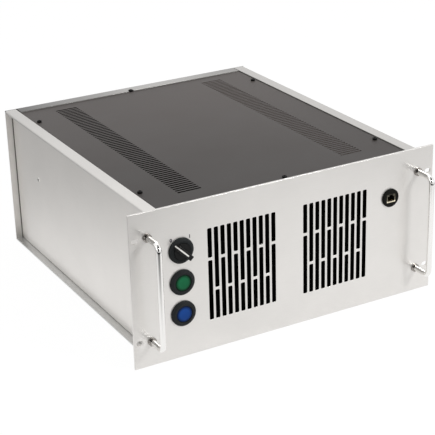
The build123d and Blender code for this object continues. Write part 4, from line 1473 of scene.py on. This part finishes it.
@dataclass(frozen=True)
class Ring:
    """A round patch of the veil, which fades between two distances from its centre."""

    centre: Place
    near: float
    far: float

    def outside(self, shader: Shader) -> Signal:
        """Return 0 up to the near distance, rising to 1 at the far one."""
        return shader.ease(shader.reach("X", "Y", self.centre), self.near, self.far, 0.0, 1.0)


@dataclass
class Studio:
    """A pale studio whose camera stands at the unit's front left, above it.

    Its angles are in degrees, and the lens is in millimetres.
    """

    azimuth: float = 28.7387
    elevation: float = 22.929
    lean: float = 1.6259
    distance: float = 2.064
    aim: Place = (0.00592, 0.21036, -0.02362)
    lens: float = 113.473
    clip: Span = (0.05, 60.0)
    floor_side: float = 14.0
    floor_greys: Span = (0.8, 0.84)
    floor_gap: float = 0.05 * MM
    floor_glow: float = 0.93
    floor_lift: float = 1.03
    dust_size: float = 0.4
    nap_size: float = 0.05
    sky_light: float = 0.6
    sky_tint: Colour = (1.0, 0.995, 0.985)
    veil_rise: float = 0.5 * MM
    veil_clear: Ring = Ring((0.05, -0.05, 0), 0.38, 1.0)
    veil_grey: float = 0.5
    veil_dark: Ring = Ring((-0.91, -1.46, 0), 1.1, 1.5)
    veil_black: float = 0.02
    flag_greys: Span = (0.01, 0.02)
    flags: tuple[Flag, ...] = (
        Flag("flag_front", (-1.27, -2.11, 1.4), 2.6),
        Flag("flag_above", (0.0, -1.0, 2.3), 1.8),
    )
    softboxes: tuple[Softbox, ...] = (
        Softbox("key_softbox", (1.1, -1.8, 1.35), 0.35, 24.0),
        Softbox("top_softbox", (0.1, 0.5, 2.4), 1.8, 11.0),
        Softbox("left_softbox", (-2.4, -0.4, 1.0), 1.4, 4.0),
    )

    def build(self) -> None:
        """Set up the camera, the lamps, the sky, the floor and what is mirrored."""
        self._camera()
        for softbox in self.softboxes:
            softbox.light(Vector(self.aim))
        self._sky()
        self._floor()
        self._veil()
        self._flags()
        bpy.context.scene.view_settings.view_transform = "Standard"

    def _camera(self) -> None:
        """Stand the camera on its bearing and aim it."""
        turn, rise = math.radians(self.azimuth), math.radians(self.elevation)
        back = Vector(
            (-math.sin(turn) * math.cos(rise), -math.cos(turn) * math.cos(rise), math.sin(rise))
        )
        camera = bpy.data.cameras.new("camera")
        camera.lens = self.lens
        camera.clip_start, camera.clip_end = self.clip
        stand = bpy.data.objects.new("camera", camera)
        stand.location = Vector(self.aim) + back * self.distance
        stand.rotation_mode = "QUATERNION"
        roll = Quaternion((0, 0, 1), -math.radians(self.lean))
        stand.rotation_quaternion = (-back).to_track_quat("-Z", "Y") @ roll
        bpy.context.scene.collection.objects.link(stand)
        bpy.context.scene.camera = stand

    @staticmethod
    def _seen(shader: Shader) -> Signal:
        """Tell what the camera sees, straight, mirrored or through glass.

        Args:
            shader: the node tree to work in.

        Returns:
            1 for what the camera sees, and 0 for what only lights the unit.
        """
        straight, mirrored, through = (
            shader.add("ShaderNodeLightPath", output=name)
            for name in ("Is Camera Ray", "Is Glossy Ray", "Is Transmission Ray")
        )
        return straight | mirrored | through

    def _sky(self) -> None:
        """Light the unit evenly from a sky that looks white."""
        world = bpy.data.worlds.new("sky")
        world.use_nodes = True
        bpy.context.scene.world = world
        shader = Shader(world.node_tree)
        light, white = (
            shader.add("ShaderNodeBackground", None, {"Color": colour, "Strength": strength})
            for colour, strength in ((self.sky_tint, self.sky_light), (WHITE, 1.0))
        )
        both = shader.blend(self._seen(shader), light, white)
        shader.add("ShaderNodeOutputWorld", None, {"Surface": both})

    def _floor(self) -> None:
        """Lay a floor that looks white and keeps a soft shadow."""
        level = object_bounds()[0].z - self.floor_gap
        floor, shader = self._sheet("floor", (0, 0, level), self.floor_side)
        dull, pale = map(grey, self.floor_greys)
        dust = shader.mix(dull, pale, shader.noise(self.dust_size))
        paper = shader.add("ShaderNodeBsdfDiffuse", None, {"Color": dust})
        white, bright = (
            shader.add("ShaderNodeEmission", None, {"Color": WHITE, "Strength": strength})
            for strength in (1.0, self.floor_lift)
        )
        straight = shader.add("ShaderNodeLightPath", output="Is Camera Ray")
        glow = shader.blend(straight, white, bright)
        both = shader.blend(self._seen(shader) * self.floor_glow, paper, glow)
        shader.add("ShaderNodeOutputMaterial", None, {"Surface": both})
        floor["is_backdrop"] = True

    def _veil(self) -> None:
        """Lay a veil on the floor that darkens it for reflections alone, away from the unit."""
        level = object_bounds()[0].z + self.veil_rise
        veil, shader = self._sheet("veil", (0, 0, level), self.floor_side)
        tint = shader.mix(WHITE, grey(self.veil_grey), self.veil_clear.outside(shader))
        tint = shader.mix(grey(self.veil_black), tint, self.veil_dark.outside(shader))
        clear = shader.add("ShaderNodeBsdfTransparent", None, {"Color": tint})
        shader.add("ShaderNodeOutputMaterial", None, {"Surface": clear})
        self._only_mirrored(veil)

    def _flags(self) -> None:
        """Hang dark flags in front of the unit, which bright metal mirrors."""
        for flag in self.flags:
            cloth, shader = self._sheet(flag.name, flag.place, flag.side)
            facing = Vector(self.aim) - Vector(flag.place)
            cloth.rotation_euler = facing.to_track_quat("Z", "Y").to_euler()
            deep, faded = map(grey, self.flag_greys)
            nap = shader.mix(deep, faded, shader.noise(self.nap_size))
            black = shader.add("ShaderNodeBsdfDiffuse", None, {"Color": nap})
            shader.add("ShaderNodeOutputMaterial", None, {"Surface": black})
            self._only_mirrored(cloth)

    @staticmethod
    def _sheet(name: str, place: Place, side: float) -> tuple[bpy.types.Object, Shader]:
        """Add a level square sheet with a material of its own.

        Args:
            name: the sheet's name.
            place: its middle.
            side: its side.

        Returns:
            The sheet, and its material's empty node tree.
        """
        Bench.clear()
        bpy.ops.mesh.primitive_plane_add(size=side, location=place)
        sheet = bpy.context.object
        sheet.name = name
        material = bpy.data.materials.new(f"{name}_look")
        material.use_nodes = True
        sheet.data.materials.append(material)
        return sheet, Shader(material.node_tree)

    @staticmethod
    def _only_mirrored(sheet: bpy.types.Object) -> None:
        """Show a sheet in reflections alone.

        Args:
            sheet: the sheet, which is part of the stage.
        """
        sheet.visible_camera = False
        sheet.visible_diffuse = False
        sheet.visible_shadow = False
        sheet.visible_transmission = False
        sheet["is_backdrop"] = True


# --------------------------------------------------------------------------- the whole


def main() -> None:
    """Dress the nodes, build the new pieces and set up the studio."""
    logging.basicConfig(level=logging.INFO, format="%(name)s: %(message)s")
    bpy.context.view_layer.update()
    Wardrobe().dress()
    SelectorMark().build()
    SocketInside().build()
    PanelPrint().build()
    Studio().build()


if __name__ == "__main__":
    main()
